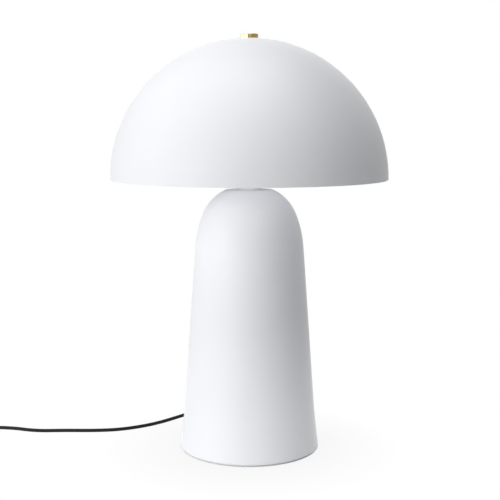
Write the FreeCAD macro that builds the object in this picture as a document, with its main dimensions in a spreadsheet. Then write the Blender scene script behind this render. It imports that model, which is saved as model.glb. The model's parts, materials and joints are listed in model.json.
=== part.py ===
import FreeCAD, Part
import math
import os
from types import SimpleNamespace

import Sketcher

# Mushroom table lamp: a domed shade lifts off a harp that stands on a tapered, weighted base.
# Millimetres, +Z up, origin at the middle of the foot on the table, the cord leaves at the back (+Y).

Vector = FreeCAD.Vector
Rotation = FreeCAD.Rotation

SIZES = {
    # spun shade
    "shade_radius": 150.0,
    "shade_wall": 1.2,
    "shade_skirt": 0.5,
    "rim_round": 0.4,
    "crown_flat_radius": 14.0,
    "crown_flat_round": 30.0,
    # knob and its washer
    "knob_radius": 9.5,
    "knob_height": 4.6,
    "knob_chamfer": 0.5,
    "knob_lift": 0.2,
    "knob_washer_radius": 7.5,
    "knob_washer_clearance": 0.2,
    "knob_washer_thickness": 1.0,
    "shank_radius": 2.95,
    "shank_length": 5.0,
    "shank_hole_clearance": 0.25,
    # bush under the crown
    "bush_flange_radius": 11.0,
    "bush_flange_thickness": 3.0,
    "bush_radius": 7.5,
    "bush_socket_depth": 9.0,
    "bush_web": 1.0,
    "bush_thread_depth": 6.0,
    "thread_clearance": 0.05,
    # harp that carries the shade
    "spigot_radius": 4.0,
    "spigot_clearance": 0.08,
    "spigot_end_gap": 0.5,
    "spigot_boss_radius": 6.5,
    "spigot_boss_height": 8.0,
    "spigot_chamfer": 0.6,
    "spigot_washer_thickness": 0.8,
    "harp_height": 127.85,
    "harp_wire_radius": 2.0,
    "harp_half_width": 34.0,
    "harp_wire_clearance": 0.05,
    "ferrule_radius": 3.6,
    "ferrule_height": 14.0,
    "saddle_width": 14.0,
    "saddle_thickness": 2.0,
    # base shell
    "base_height": 288.0,
    "shell_wall": 1.6,
    "foot_gap": 1.0,
    "foot_radius": 77.2,
    "foot_round": 2.0,
    "lip_radius": 66.0,
    "flare_radius": 71.9,
    "flare_height": 50.0,
    "shoulder_radius": 59.3,
    "shoulder_height": 225.0,
    "seat_radius": 25.0,
    "seat_slope": 0.418,
    "seat_round": 6.0,
    # ballast, cover and foot pad
    "ballast_clearance": 1.2,
    "ballast_height": 16.0,
    "ballast_hole_radius": 14.0,
    "cord_slot_clearance": 0.6,
    "cover_clearance": 0.4,
    "cover_screw_circle": 45.0,
    "cover_screw_radius": 2.0,
    "cover_screw_head_radius": 3.8,
    "cover_screw_length": 13.0,
    "screw_clearance": 0.1,
    "screw_slot_width": 0.9,
    "screw_slot_length": 3.2,
    "screw_slot_depth": 1.0,
    "pad_margin": 2.7,
    "pad_width": 20.5,
    # neck and hollow nipple
    "collar_radius": 12.5,
    "collar_height": 9.5,
    "collar_chamfer": 0.4,
    "nipple_radius": 5.0,
    "nipple_bore_radius": 3.6,
    "nipple_clearance": 0.1,
    "nipple_above": 2.0,
    "nipple_below": 1.2,
    "nut_radius": 9.2,
    "nut_height": 5.0,
    "nut_washer_radius": 10.0,
    "nut_washer_thickness": 1.2,
    # lampholder
    "holder_radius": 20.5,
    "holder_wall": 2.0,
    "holder_foot_radius": 12.0,
    "holder_floor": 3.5,
    "holder_cone_height": 8.5,
    "holder_ledge": 2.0,
    "holder_ledge_height": 12.5,
    "holder_cap_height": 20.5,
    "holder_skirt_height": 32.0,
    "holder_mouth_clearance": 0.3,
    "holder_mouth_thickness": 2.0,
    "core_height": 14.0,
    "core_clearance": 0.2,
    "screw_shell_clearance": 0.8,
    "screw_shell_wall": 0.5,
    "screw_shell_height": 22.0,
    "screw_shell_flange": 1.6,
    "screw_shell_flange_thickness": 0.6,
    "contact_stem_radius": 1.5,
    "contact_stem_height": 2.3,
    "contact_head_radius": 4.0,
    "contact_head_thickness": 1.0,
    "terminal_offset": 9.0,
    "terminal_radius": 1.4,
    "terminal_head_radius": 2.6,
    "terminal_head_height": 1.8,
    "terminal_depth": 6.0,
    "lead_radius": 0.8,
    "lead_offset": 1.0,
    # bulb
    "bulb_gap": 0.05,
    "bulb_tip_radius": 4.5,
    "bulb_tip_height": 1.25,
    "insulator_low_radius": 6.0,
    "insulator_high_radius": 11.6,
    "insulator_height": 4.0,
    "bulb_cap_radius": 13.1,
    "bulb_cap_wall": 0.5,
    "bulb_cap_height": 22.4,
    "bulb_cap_toe": 1.6,
    "collar_neck_clearance": 0.1,
    "collar_neck_depth": 12.0,
    "collar_step_radius": 14.2,
    "collar_cone_height": 17.0,
    "collar_band_height": 3.0,
    "bulb_collar_wall": 1.6,
    "board_thickness": 1.6,
    "board_clearance": 0.3,
    "globe_radius": 22.5,
    "globe_drop": 8.08,
    "globe_wall": 1.0,
    # strain relief at the back of the foot
    "exit_height": 10.0,
    "relief_flange_radius": 5.2,
    "relief_flange_thickness": 2.5,
    "relief_neck_radius": 4.0,
    "relief_neck_clearance": 0.1,
    "relief_root_radius": 4.8,
    "relief_tip_radius": 3.2,
    "relief_length": 26.0,
    "relief_catch_radius": 5.4,
    "relief_catch_thickness": 2.0,
    "relief_catch_gap": 0.9,
    # cord
    "cord_radius": 2.0,
    "cord_bore_clearance": 0.05,
    "floor_clearance": 0.1,
    "cord_entry": 3.0,
    # switch on the cord
    "switch_x": -304.0,
    "switch_y": 46.0,
    "switch_length": 58.0,
    "switch_width": 24.0,
    "switch_base_height": 6.8,
    "switch_cover_height": 7.2,
    "switch_wall": 2.0,
    "switch_round": 6.0,
    "switch_edge_round": 1.2,
    "switch_boss_radius": 3.0,
    "switch_boss_offset": 17.0,
    "switch_screw_radius": 1.2,
    "switch_screw_head_radius": 2.4,
    "switch_screw_head_height": 1.6,
    "switch_screw_length": 9.0,
    "rocker_length": 17.0,
    "rocker_width": 8.6,
    "rocker_pivot_height": 3.6,
    "rocker_middle": 3.4,
    "rocker_end": 5.0,
    "rocker_end_low": 1.0,
    "rocker_belly": 2.6,
    "rocker_belly_half": 3.0,
    "rocker_tilt": 9.0,
    "rocker_side_gap": 0.3,
    "rocker_end_gap": 1.3,
    "pin_radius": 1.2,
    "pin_clearance": 0.05,
    "pin_seat": 1.2,
    "terminal_strip_length": 14.0,
    "terminal_strip_width": 4.0,
    "terminal_strip_height": 2.6,
    "terminal_strip_offset": 6.0,
    # coil of the spare length
    "coil_x": -376.0,
    "coil_y": -8.0,
    "coil_outer_radius": 34.0,
    "coil_pitch": 4.6,
    "coil_layer": 4.5,
    "coil_lift": 1.1,
    "tie_width": 8.0,
    "tie_thickness": 0.8,
    "tie_under_gap": 0.1,
    "tie_gap": 0.3,
    # plug
    "plug_lead": 16.0,
    "plug_relief_length": 18.0,
    "plug_relief_tip_radius": 3.2,
    "plug_relief_root_radius": 5.0,
    "plug_neck_half_width": 6.0,
    "plug_waist_half_width": 11.0,
    "plug_waist_at": 9.0,
    "plug_half_width": 17.0,
    "plug_wide_at": 24.0,
    "plug_length": 36.0,
    "plug_half_thickness": 7.2,
    "plug_corner_round": 3.0,
    "plug_round": 2.5,
    "plug_pin_radius": 2.0,
    "plug_pin_length": 19.0,
    "plug_pin_spacing": 19.0,
    "plug_pin_chamfer": 0.8,
}
COVER_SCREW_ANGLES = (30.0, 150.0, 270.0)
COIL_TURNS = 8
ARCS_PER_TURN = 4
GAP_STEPS_PER_TURN = 60
ARC_SHARE = 0.45

# The cord on the table, seen from above: behind the base, out to the left, then straight on.
RUN_ROUTE = [
    (0.0, 117.0),
    (-4.0, 143.0),
    (-26.0, 162.0),
    (-52.0, 154.0),
    (-66.0, 132.0),
    (-84.0, 111.0),
    (-107.0, 86.0),
    (-129.0, 68.0),
    (-155.0, 55.3),
    (-184.0, 52.0),
    (-216.0, 51.5),
    (-250.0, 49.5),
    (-280.0, 46.0),
]
# From the switch round to the left side of the coil.
LINK_ROUTE = [(-381.0, 46.0, 7.0), (-400.0, 39.0, 4.6), (-410.0, 16.0, 3.1)]
# Inside the base: from the back of the foot across the slot and up to the neck.
INNER_ROUTE = [(0.0, 28.0, 10.0), (0.0, 0.0, 48.0)]


class Size:
    """A length with the sheet expression that gives it."""

    def __init__(self, value, text):
        self.value = value
        self.text = text

    def __add__(self, other):
        other = as_size(other)
        return Size(self.value + other.value, f"({self.text} + {other.text})")

    def __sub__(self, other):
        other = as_size(other)
        return Size(self.value - other.value, f"({self.text} - {other.text})")

    def __mul__(self, other):
        other = as_size(other)
        return Size(self.value * other.value, f"({self.text} * {other.text})")

    def __truediv__(self, other):
        other = as_size(other)
        return Size(self.value / other.value, f"({self.text} / {other.text})")

    def __neg__(self):
        return Size(-self.value, f"(0 - {self.text})")

    def __rsub__(self, other):
        return as_size(other) - self

    def __rmul__(self, other):
        return self * other


def as_size(item):
    if isinstance(item, Size):
        return item
    return Size(float(item), repr(float(item)))


def absolute(size):
    return Size(abs(size.value), f"abs({size.text})")


def smaller(one, other):
    return Size(min(one.value, other.value), f"min({one.text}; {other.text})")


def root(size):
    return Size(math.sqrt(size.value), f"sqrt({size.text})")


doc = FreeCAD.newDocument("mushroom_lamp")
sheet = doc.addObject("Spreadsheet::Sheet", "dims")
layout = doc.addObject("Spreadsheet::Sheet", "layout")
for row, (alias, value) in enumerate(SIZES.items(), start=1):
    sheet.set(f"A{row}", alias)
    sheet.set(f"B{row}", str(value))
    sheet.setAlias(f"B{row}", alias)
doc.recompute()
dims = SimpleNamespace(**{alias: Size(float(sheet.get(alias)), f"dims.{alias}") for alias in SIZES})
layout_rows = []
pieces = []


def named(alias, size):
    """Keep a derived length as a formula of the layout sheet, and return it under that name."""
    layout_rows.append(alias)
    cell = f"B{len(layout_rows)}"
    layout.set(f"A{len(layout_rows)}", alias)
    layout.set(cell, "=" + size.text)
    layout.setAlias(cell, alias)
    return Size(size.value, f"layout.{alias}")


def bind(item, prop, size):
    item.setExpression(prop, as_size(size).text)


def place(item, x=0, y=0, z=0):
    for axis, size in (("x", x), ("y", y), ("z", z)):
        bind(item, f"Placement.Base.{axis}", size)


def keep(item, label):
    item.Label = label
    pieces.append(item)
    return item


def add(kind, name, turn=None, at=(0, 0, 0), **sizes):
    """A Part primitive with its sizes and place tied to the sheet."""
    item = doc.addObject(kind, name)
    if turn is not None:
        item.Placement = FreeCAD.Placement(Vector(), turn)
    for prop, size in sizes.items():
        bind(item, prop, size)
    place(item, *at)
    return item


ALONG_X = Rotation(Vector(0, 1, 0), 90)
ALONG_Y = Rotation(Vector(1, 0, 0), -90)
TOWARDS_FRONT = Rotation(Vector(1, 0, 0), 90)


def cylinder(name, radius, height, at=(0, 0, 0), turn=None):
    return add("Part::Cylinder", name, turn, at, Radius=radius, Height=height)


def cone(name, low, high, height, at=(0, 0, 0), turn=None):
    return add("Part::Cone", name, turn, at, Radius1=low, Radius2=high, Height=height)


def box(name, length, width, height, at=(0, 0, 0)):
    return add("Part::Box", name, None, at, Length=length, Width=width, Height=height)


def fuse(name, *shapes):
    item = doc.addObject("Part::MultiFuse", name)
    item.Shapes = list(shapes)
    return item


def cut(name, base, *tools):
    item = doc.addObject("Part::Cut", name)
    item.Base = base
    item.Tool = tools[0] if len(tools) == 1 else fuse(name + "_tools", *tools)
    return item


def group(name, *shapes):
    item = doc.addObject("Part::Compound", name)
    item.Links = list(shapes)
    return item


def cross_slots(name, across, back, low):
    """The two crossing slots of a screw head that faces down."""
    wide = (dims.screw_slot_length, dims.screw_slot_width)
    slots = []
    for index, (length, width) in enumerate((wide, wide[::-1]), start=1):
        corner = (across - length / 2, back - width / 2, low)
        slots.append(box(f"{name}_slot_{index}", length, width, dims.screw_slot_depth, corner))
    return slots


def new_body(name):
    return doc.addObject("PartDesign::Body", name)


def new_sketch(body, role, name):
    plane = next(item for item in body.Origin.OriginFeatures if item.Role == role)
    sketch = body.newObject("Sketcher::SketchObject", name)
    sketch.AttachmentSupport = [(plane, "")]
    sketch.MapMode = "FlatFace"
    return sketch


def hold(sketch, kind, where, size):
    index = sketch.addConstraint(Sketcher.Constraint(kind, *where, size.value))
    sketch.setExpression(f"Constraints[{index}]", size.text)


def hold_point(sketch, edge, end, across, up):
    """Tie one end of an edge to its distances from the sketch axes, or to an axis itself."""
    if isinstance(across, Size):
        hold(sketch, "DistanceX", (-1, 1, edge, end), across)
    else:
        sketch.addConstraint(Sketcher.Constraint("PointOnObject", edge, end, -2))
    if isinstance(up, Size):
        hold(sketch, "DistanceY", (-1, 1, edge, end), up)
    else:
        sketch.addConstraint(Sketcher.Constraint("PointOnObject", edge, end, -1))


def outline(sketch, corners, arcs):
    """Closed outline through the corners; arcs maps a corner to the centre and radius of its edge."""
    points = [Vector(as_size(across).value, as_size(up).value, 0) for across, up in corners]
    ends = []
    for index, start in enumerate(points):
        stop = points[(index + 1) % len(points)]
        if index not in arcs:
            ends.append((sketch.addGeometry(Part.LineSegment(start, stop), False), 1, 2))
            continue
        across, up, radius = arcs[index]
        centre = Vector(as_size(across).value, as_size(up).value, 0)
        leftward = (start - centre).cross(stop - centre).z > 0
        first, last = (start, stop) if leftward else (stop, start)
        from_angle = math.atan2(first.y - centre.y, first.x - centre.x)
        to_angle = math.atan2(last.y - centre.y, last.x - centre.x)
        circle = Part.Circle(centre, Vector(0, 0, 1), radius.value)
        edge = sketch.addGeometry(Part.ArcOfCircle(circle, from_angle, to_angle), False)
        ends.append((edge, 1, 2) if leftward else (edge, 2, 1))
    for index, (edge, first, last) in enumerate(ends):
        following = ends[(index + 1) % len(ends)]
        sketch.addConstraint(Sketcher.Constraint("Coincident", edge, last, following[0], following[1]))
        hold_point(sketch, edge, first, *corners[index])
        if index in arcs:
            hold(sketch, "Radius", (edge,), arcs[index][2])


def turned(name, corners, arcs=None):
    """A piece turned about its own upright axis."""
    body = new_body(name)
    sketch = new_sketch(body, "XZ_Plane", name + "_outline")
    outline(sketch, corners, arcs or {})
    spin = body.newObject("PartDesign::Revolution", name + "_turned")
    spin.Profile = sketch
    spin.ReferenceAxis = (sketch, ["V_Axis"])
    spin.Angle = 360.0
    return body


def ring(name, inner, outer, low, high):
    return turned(name, [(inner, low), (outer, low), (outer, high), (inner, high)])


def dress(body, kind, size, wanted):
    """Round or bevel the edges of the newest feature that the test picks."""
    doc.recompute()
    base = body.Tip
    edges = [f"Edge{index}" for index, edge in enumerate(base.Shape.Edges, start=1) if wanted(edge)]
    if not edges:
        raise RuntimeError(f"{body.Name}: no edge to dress")
    feature = body.newObject(f"PartDesign::{kind}", f"{body.Name}_{kind.lower()}")
    feature.Base = (base, edges)
    bind(feature, "Radius" if kind == "Fillet" else "Size", size)
    return feature


def is_ring(radius, height):
    def wanted(edge):
        curve = edge.Curve
        if not isinstance(curve, Part.Circle):
            return False
        return abs(curve.Radius - radius.value) < 1e-4 and abs(curve.Center.z - height.value) < 1e-4
    return wanted


def is_upright(edge):
    return isinstance(edge.Curve, Part.Line) and abs(edge.tangentAt(edge.FirstParameter).z) > 0.999


def unit(across, up):
    length = root(across * across + up * up)
    return across / length, up / length


# Heights of the stack above the base
saddle_low = named("saddle_low", dims.base_height + dims.collar_height)
saddle_top = named("saddle_top", saddle_low + dims.saddle_thickness)
shell_ceiling = named("shell_ceiling", dims.base_height - dims.shell_wall)
shell_floor = named("shell_floor", dims.foot_gap + dims.shell_wall)
stem_hole = named("stem_hole", dims.nipple_radius + dims.nipple_clearance)
wire_top = named("wire_top", saddle_top + dims.harp_height)
boss_low = named("boss_low", wire_top - dims.spigot_boss_height / 2)
shoulder_top = named("shoulder_top", boss_low + dims.spigot_boss_height)
bush_low = named("bush_low", shoulder_top + dims.spigot_washer_thickness)
socket_end = named("socket_end", bush_low + dims.bush_socket_depth)
thread_end = named("thread_end", socket_end + dims.bush_web)
crown_under = named("crown_under", thread_end + dims.bush_thread_depth)
dome_top = named("dome_top", crown_under + dims.shade_wall)
crown_reach = root(dims.shade_radius * dims.shade_radius - dims.crown_flat_radius * dims.crown_flat_radius)
dome_centre = named("dome_centre", dome_top - crown_reach)
rim_height = named("rim_height", dome_centre - dims.shade_skirt)

# Outline of the base: flare at the foot, straight taper, then two tangent arcs up to the flat seat
taper_run = dims.shoulder_radius - dims.flare_radius
taper_across, taper_up = unit(taper_run, dims.shoulder_height - dims.flare_height)
taper_across = named("taper_across", taper_across)
taper_up = named("taper_up", taper_up)
flare_across = dims.foot_radius - dims.flare_radius
flare_up = dims.foot_gap - dims.flare_height
flare_square = flare_across * flare_across + flare_up * flare_up
flare_out = flare_across * taper_up - flare_up * taper_across
flare_bend = named("flare_bend", flare_square / (2 * flare_out))
flare_side = named("flare_side", flare_bend / absolute(flare_bend))
flare_arc = named("flare_arc", absolute(flare_bend))
flare_centre_across = named("flare_centre_across", dims.flare_radius + flare_bend * taper_up)
flare_centre_up = named("flare_centre_up", dims.flare_height - flare_bend * taper_across)
slope_length = root(dims.seat_slope * dims.seat_slope + 1)
seat_across = named("seat_across", -1 * as_size(1) / slope_length)
seat_up = named("seat_up", dims.seat_slope / slope_length)
rise_across = named("rise_across", dims.seat_radius - dims.shoulder_radius)
rise_up = named("rise_up", dims.base_height - dims.shoulder_height)
rise_square = rise_across * rise_across + rise_up * rise_up
along = named("along", rise_across * (taper_across + seat_across) + rise_up * (taper_up + seat_up))
turn_share = named("turn_share", 1 - (taper_across * seat_across + taper_up * seat_up))
arm = named("arm", (root(along * along + 2 * turn_share * rise_square) - along) / (2 * turn_share))
join_sum = dims.shoulder_radius + dims.seat_radius + arm * (taper_across - seat_across)
join_across = named("join_across", join_sum / 2)
join_up = named("join_up", (dims.shoulder_height + dims.base_height + arm * (taper_up - seat_up)) / 2)
low_across = join_across - dims.shoulder_radius
low_up = join_up - dims.shoulder_height
low_in = low_up * taper_across - low_across * taper_up
shoulder_arc = named("shoulder_arc", (low_across * low_across + low_up * low_up) / (2 * low_in))
shoulder_centre_across = named("shoulder_centre_across", dims.shoulder_radius - shoulder_arc * taper_up)
shoulder_centre_up = named("shoulder_centre_up", dims.shoulder_height + shoulder_arc * taper_across)
high_across = join_across - dims.seat_radius
high_up = join_up - dims.base_height
high_in = high_up * seat_across - high_across * seat_up
crown_arc = named("crown_arc", (high_across * high_across + high_up * high_up) / (2 * high_in))
crown_centre_across = named("crown_centre_across", dims.seat_radius - crown_arc * seat_up)
crown_centre_up = named("crown_centre_up", dims.base_height + crown_arc * seat_across)

# The same outline one wall further in
inner_flare_arc = named("inner_flare_arc", absolute(flare_bend + dims.shell_wall))
inner_shoulder_arc = named("inner_shoulder_arc", shoulder_arc - dims.shell_wall)
inner_crown_arc = named("inner_crown_arc", crown_arc - dims.shell_wall)
inward_across = named("inward_across", dims.shell_wall * taper_up)
inward_up = named("inward_up", dims.shell_wall * taper_across)
inner_share = named("inner_share", inner_shoulder_arc / shoulder_arc)
seat_drop = shell_ceiling - crown_centre_up
inner_seat_reach = root(inner_crown_arc * inner_crown_arc - seat_drop * seat_drop)
inner_seat = named("inner_seat", crown_centre_across + inner_seat_reach)


def flare_at(height, arc):
    """Radius of the flared wall at a height, on the arc of its outside or its inside."""
    drop = height - flare_centre_up
    return flare_centre_across - flare_side * root(arc * arc - drop * drop)


inner_foot = named("inner_foot", flare_at(shell_floor, inner_flare_arc))

# Base
shell_corners = [
    (dims.lip_radius, dims.foot_gap),
    (dims.foot_radius, dims.foot_gap),
    (dims.flare_radius, dims.flare_height),
    (dims.shoulder_radius, dims.shoulder_height),
    (join_across, join_up),
    (dims.seat_radius, dims.base_height),
    (stem_hole, dims.base_height),
    (stem_hole, shell_ceiling),
    (inner_seat, shell_ceiling),
    (
        shoulder_centre_across + (join_across - shoulder_centre_across) * inner_share,
        shoulder_centre_up + (join_up - shoulder_centre_up) * inner_share,
    ),
    (dims.shoulder_radius - inward_across, dims.shoulder_height + inward_up),
    (dims.flare_radius - inward_across, dims.flare_height + inward_up),
    (inner_foot, shell_floor),
    (dims.lip_radius, shell_floor),
]
shell_arcs = {
    1: (flare_centre_across, flare_centre_up, flare_arc),
    3: (shoulder_centre_across, shoulder_centre_up, shoulder_arc),
    4: (crown_centre_across, crown_centre_up, crown_arc),
    8: (crown_centre_across, crown_centre_up, inner_crown_arc),
    9: (shoulder_centre_across, shoulder_centre_up, inner_shoulder_arc),
    11: (flare_centre_across, flare_centre_up, inner_flare_arc),
}
base_shell = keep(turned("base_shell", shell_corners, shell_arcs), "base_shell")
dress(base_shell, "Fillet", dims.foot_round, is_ring(dims.foot_radius, dims.foot_gap))
inner_round = named("inner_round", dims.foot_round - dims.shell_wall)
dress(base_shell, "Fillet", inner_round, is_ring(inner_foot, shell_floor))
dress(base_shell, "Fillet", dims.seat_round, is_ring(dims.seat_radius, dims.base_height))
cord_hole_radius = named("cord_hole_radius", dims.relief_neck_radius + dims.relief_neck_clearance)
hole_sketch = new_sketch(base_shell, "XZ_Plane", "cord_hole_outline")
hole_circle = Part.Circle(Vector(0, dims.exit_height.value, 0), Vector(0, 0, 1), 1.0)
hole = hole_sketch.addGeometry(hole_circle, False)
hold(hole_sketch, "Radius", (hole,), cord_hole_radius)
hold_point(hole_sketch, hole, 3, 0, dims.exit_height)
doc.recompute()
whole_shell = base_shell.Shape.Volume
cord_hole = base_shell.newObject("PartDesign::Pocket", "cord_hole")
cord_hole.Profile = hole_sketch
cord_hole.Type = "ThroughAll"
doc.recompute()
one_wall = math.pi * cord_hole_radius.value ** 2 * dims.shell_wall.value
if not 0 < whole_shell - base_shell.Shape.Volume < 3 * one_wall:
    raise RuntimeError("the cord hole does not go through one wall")

ballast_top = named("ballast_top", shell_floor + dims.ballast_height)
ballast_room = smaller(flare_at(ballast_top, inner_flare_arc), inner_foot - inner_round)
ballast_radius = named("ballast_radius", ballast_room - dims.ballast_clearance)
slot_width = named("slot_width", 2 * (dims.relief_catch_radius + dims.cord_slot_clearance))
screw_hole_radius = named("screw_hole_radius", dims.cover_screw_radius + dims.screw_clearance)
screw_spots = [
    (
        dims.cover_screw_circle * math.cos(math.radians(angle)),
        dims.cover_screw_circle * math.sin(math.radians(angle)),
    )
    for angle in COVER_SCREW_ANGLES
]
ballast_tools = [cylinder("ballast_hole", dims.ballast_hole_radius, dims.ballast_height, (0, 0, shell_floor))]
slot_corner = (-slot_width / 2, 0, shell_floor)
ballast_tools.append(box("cord_slot", slot_width, dims.foot_radius, dims.ballast_height, slot_corner))
cover_radius = named("cover_radius", dims.lip_radius - dims.cover_clearance)
cover_tools = []
cover_screws = []
head_hole_radius = named("head_hole_radius", dims.cover_screw_head_radius + dims.screw_clearance)
for number, (across, back) in enumerate(screw_spots, start=1):
    tapped = (across, back, shell_floor)
    sunk = (across, back, dims.foot_gap)
    tap = cylinder(f"ballast_tap_{number}", screw_hole_radius, dims.cover_screw_length, tapped)
    ballast_tools.append(tap)
    sink = cone(f"cover_sink_{number}", head_hole_radius, screw_hole_radius, dims.shell_wall, sunk)
    cover_tools.append(sink)
    head_radius = dims.cover_screw_head_radius
    head = cone(f"cover_head_{number}", head_radius, dims.cover_screw_radius, dims.shell_wall, sunk)
    shank_length = dims.cover_screw_length - dims.shell_wall
    shank = cylinder(f"cover_shank_{number}", dims.cover_screw_radius, shank_length, tapped)
    whole_screw = fuse(f"cover_screw_blank_{number}", head, shank)
    slots = cross_slots(f"cover_screw_{number}", across, back, dims.foot_gap)
    cover_screws.append(cut(f"cover_screw_{number}", whole_screw, *slots))
ballast_disc = cylinder("ballast_disc", ballast_radius, dims.ballast_height, (0, 0, shell_floor))
keep(cut("ballast", ballast_disc, *ballast_tools), "ballast")
cover_disc = cylinder("cover_disc", cover_radius, dims.shell_wall, (0, 0, dims.foot_gap))
keep(cut("bottom_cover", cover_disc, *cover_tools), "bottom_cover")
keep(group("cover_screws", *cover_screws), "cover_screws")
pad_outer = named("pad_outer", dims.foot_radius - dims.foot_round - dims.pad_margin)
keep(ring("foot_pad", pad_outer - dims.pad_width, pad_outer, 0, dims.foot_gap), "foot_pad")

# Neck: collar on the seat, hollow nipple through it, nut and washer inside
collar = keep(ring("neck_collar", stem_hole, dims.collar_radius, dims.base_height, saddle_low), "neck_collar")
dress(collar, "Chamfer", dims.collar_chamfer, is_ring(dims.collar_radius, saddle_low))
washer_low = named("washer_low", shell_ceiling - dims.nut_washer_thickness)
keep(ring("nipple_washer", stem_hole, dims.nut_washer_radius, washer_low, shell_ceiling), "nipple_washer")
nut_low = named("nut_low", washer_low - dims.nut_height)
nut_sizes = {"Circumradius": dims.nut_radius, "Height": dims.nut_height}
nut_block = add("Part::Prism", "nut_block", None, (0, 0, nut_low), **nut_sizes)
nut_hole = cylinder("nut_hole", dims.nipple_radius + dims.thread_clearance, dims.nut_height, (0, 0, nut_low))
keep(cut("nipple_nut", nut_block, nut_hole), "nipple_nut")
nipple_low = named("nipple_low", nut_low - dims.nipple_below)
holder_floor = named("holder_floor", saddle_top + dims.holder_floor)
nipple_top = named("nipple_top", holder_floor + dims.nipple_above)
keep(ring("nipple", dims.nipple_bore_radius, dims.nipple_radius, nipple_low, nipple_top), "nipple")

# Harp: strip across the neck, two ferrules, bent wire and the spigot at its top
saddle_corner = (-dims.harp_half_width, -dims.saddle_width / 2, saddle_low)
saddle_length = 2 * dims.harp_half_width
saddle_parts = [box("saddle_strip", saddle_length, dims.saddle_width, dims.saddle_thickness, saddle_corner)]
ferrule_bore = named("ferrule_bore", dims.harp_wire_radius + dims.harp_wire_clearance)
ferrules = []
for side, sign in (("left", -1), ("right", 1)):
    at_end = dims.harp_half_width * sign
    end_place = (at_end, 0, saddle_low)
    end = cylinder(f"saddle_end_{side}", dims.saddle_width / 2, dims.saddle_thickness, end_place)
    saddle_parts.append(end)
    sleeve = cylinder(f"ferrule_{side}", dims.ferrule_radius, dims.ferrule_height, (at_end, 0, saddle_top))
    bore = cylinder(f"ferrule_bore_{side}", ferrule_bore, dims.ferrule_height, (at_end, 0, saddle_top))
    ferrules.append(cut(f"ferrule_tube_{side}", sleeve, bore))
saddle_hole = cylinder("saddle_hole", stem_hole, dims.saddle_thickness, (0, 0, saddle_low))
keep(cut("harp_saddle", fuse("saddle_blank", *saddle_parts), saddle_hole), "harp_saddle")
keep(group("harp_ferrules", *ferrules), "harp_ferrules")
leg_height = named("leg_height", dims.harp_height - dims.harp_half_width)

harp = keep(new_body("harp_loop"), "harp_loop")
place(harp, z=saddle_top)
spine = new_sketch(harp, "XZ_Plane", "harp_path")
half, leg = dims.harp_half_width.value, leg_height.value
up_leg = spine.addGeometry(Part.LineSegment(Vector(half, 0, 0), Vector(half, leg, 0)), False)
bow_circle = Part.Circle(Vector(0, leg, 0), Vector(0, 0, 1), half)
bow = spine.addGeometry(Part.ArcOfCircle(bow_circle, 0, math.pi), False)
down_leg = spine.addGeometry(Part.LineSegment(Vector(-half, leg, 0), Vector(-half, 0, 0)), False)
hold_point(spine, up_leg, 1, dims.harp_half_width, 0)
hold_point(spine, up_leg, 2, dims.harp_half_width, leg_height)
spine.addConstraint(Sketcher.Constraint("Coincident", up_leg, 2, bow, 1))
spine.addConstraint(Sketcher.Constraint("Coincident", bow, 2, down_leg, 1))
hold_point(spine, bow, 3, 0, leg_height)
spine.addConstraint(Sketcher.Constraint("Horizontal", bow, 1, bow, 2))
spine.addConstraint(Sketcher.Constraint("Vertical", down_leg))
spine.addConstraint(Sketcher.Constraint("PointOnObject", down_leg, 2, -1))
section = new_sketch(harp, "XY_Plane", "harp_section")
wire_circle = section.addGeometry(Part.Circle(Vector(half, 0, 0), Vector(0, 0, 1), 1.0), False)
hold(section, "Radius", (wire_circle,), dims.harp_wire_radius)
hold_point(section, wire_circle, 3, dims.harp_half_width, 0)
doc.recompute()
bend = harp.newObject("PartDesign::AdditivePipe", "harp_bend")
bend.Profile = section
bend.Spine = (spine, ["Edge1", "Edge2", "Edge3"])

spigot_top = named("spigot_top", socket_end - dims.spigot_end_gap)
spigot_corners = [
    (0, boss_low),
    (dims.spigot_boss_radius, boss_low),
    (dims.spigot_boss_radius, shoulder_top),
    (dims.spigot_radius, shoulder_top),
    (dims.spigot_radius, spigot_top),
    (0, spigot_top),
]
spigot_body = turned("spigot_blank", spigot_corners)
dress(spigot_body, "Chamfer", dims.spigot_chamfer, is_ring(dims.spigot_radius, spigot_top))
cross_start = (-dims.spigot_boss_radius, 0, wire_top)
cross_hole = cylinder("spigot_cross_hole", ferrule_bore, 2 * dims.spigot_boss_radius, cross_start, ALONG_X)
wire_room = add(
    "Part::Torus",
    "spigot_bow_room",
    TOWARDS_FRONT,
    (0, 0, wire_top - dims.harp_half_width),
    Radius1=dims.harp_half_width,
    Radius2=ferrule_bore,
)
keep(cut("harp_spigot", spigot_body, cross_hole, wire_room), "harp_spigot")
socket_radius = named("socket_radius", dims.spigot_radius + dims.spigot_clearance)
keep(ring("spigot_washer", socket_radius, dims.bush_radius, shoulder_top, bush_low), "spigot_washer")

# Lampholder: cap on the nipple, insulating core, skirt, screw shell and contacts
cap_top = named("cap_top", saddle_top + dims.holder_cap_height)
ledge = named("ledge", saddle_top + dims.holder_ledge_height)
holder_inner = named("holder_inner", dims.holder_radius - dims.holder_wall)
ledge_inner = named("ledge_inner", holder_inner - dims.holder_ledge)
cone_top = named("cone_top", saddle_top + dims.holder_cone_height)
cap_corners = [
    (stem_hole, saddle_top),
    (dims.holder_foot_radius, saddle_top),
    (dims.holder_radius, cone_top),
    (dims.holder_radius, cap_top),
    (holder_inner, cap_top),
    (holder_inner, ledge),
    (ledge_inner, ledge),
    (ledge_inner, cone_top),
    (dims.holder_foot_radius - dims.holder_wall / 2, holder_floor),
    (stem_hole, holder_floor),
]
keep(turned("holder_cap", cap_corners), "holder_cap")
core_top = named("core_top", ledge + dims.core_height)
core_radius = named("core_radius", holder_inner - dims.core_clearance)
core_block = cylinder("core_block", core_radius, dims.core_height, (0, 0, ledge))
core_tools = []
terminals = []
leads = []
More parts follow.
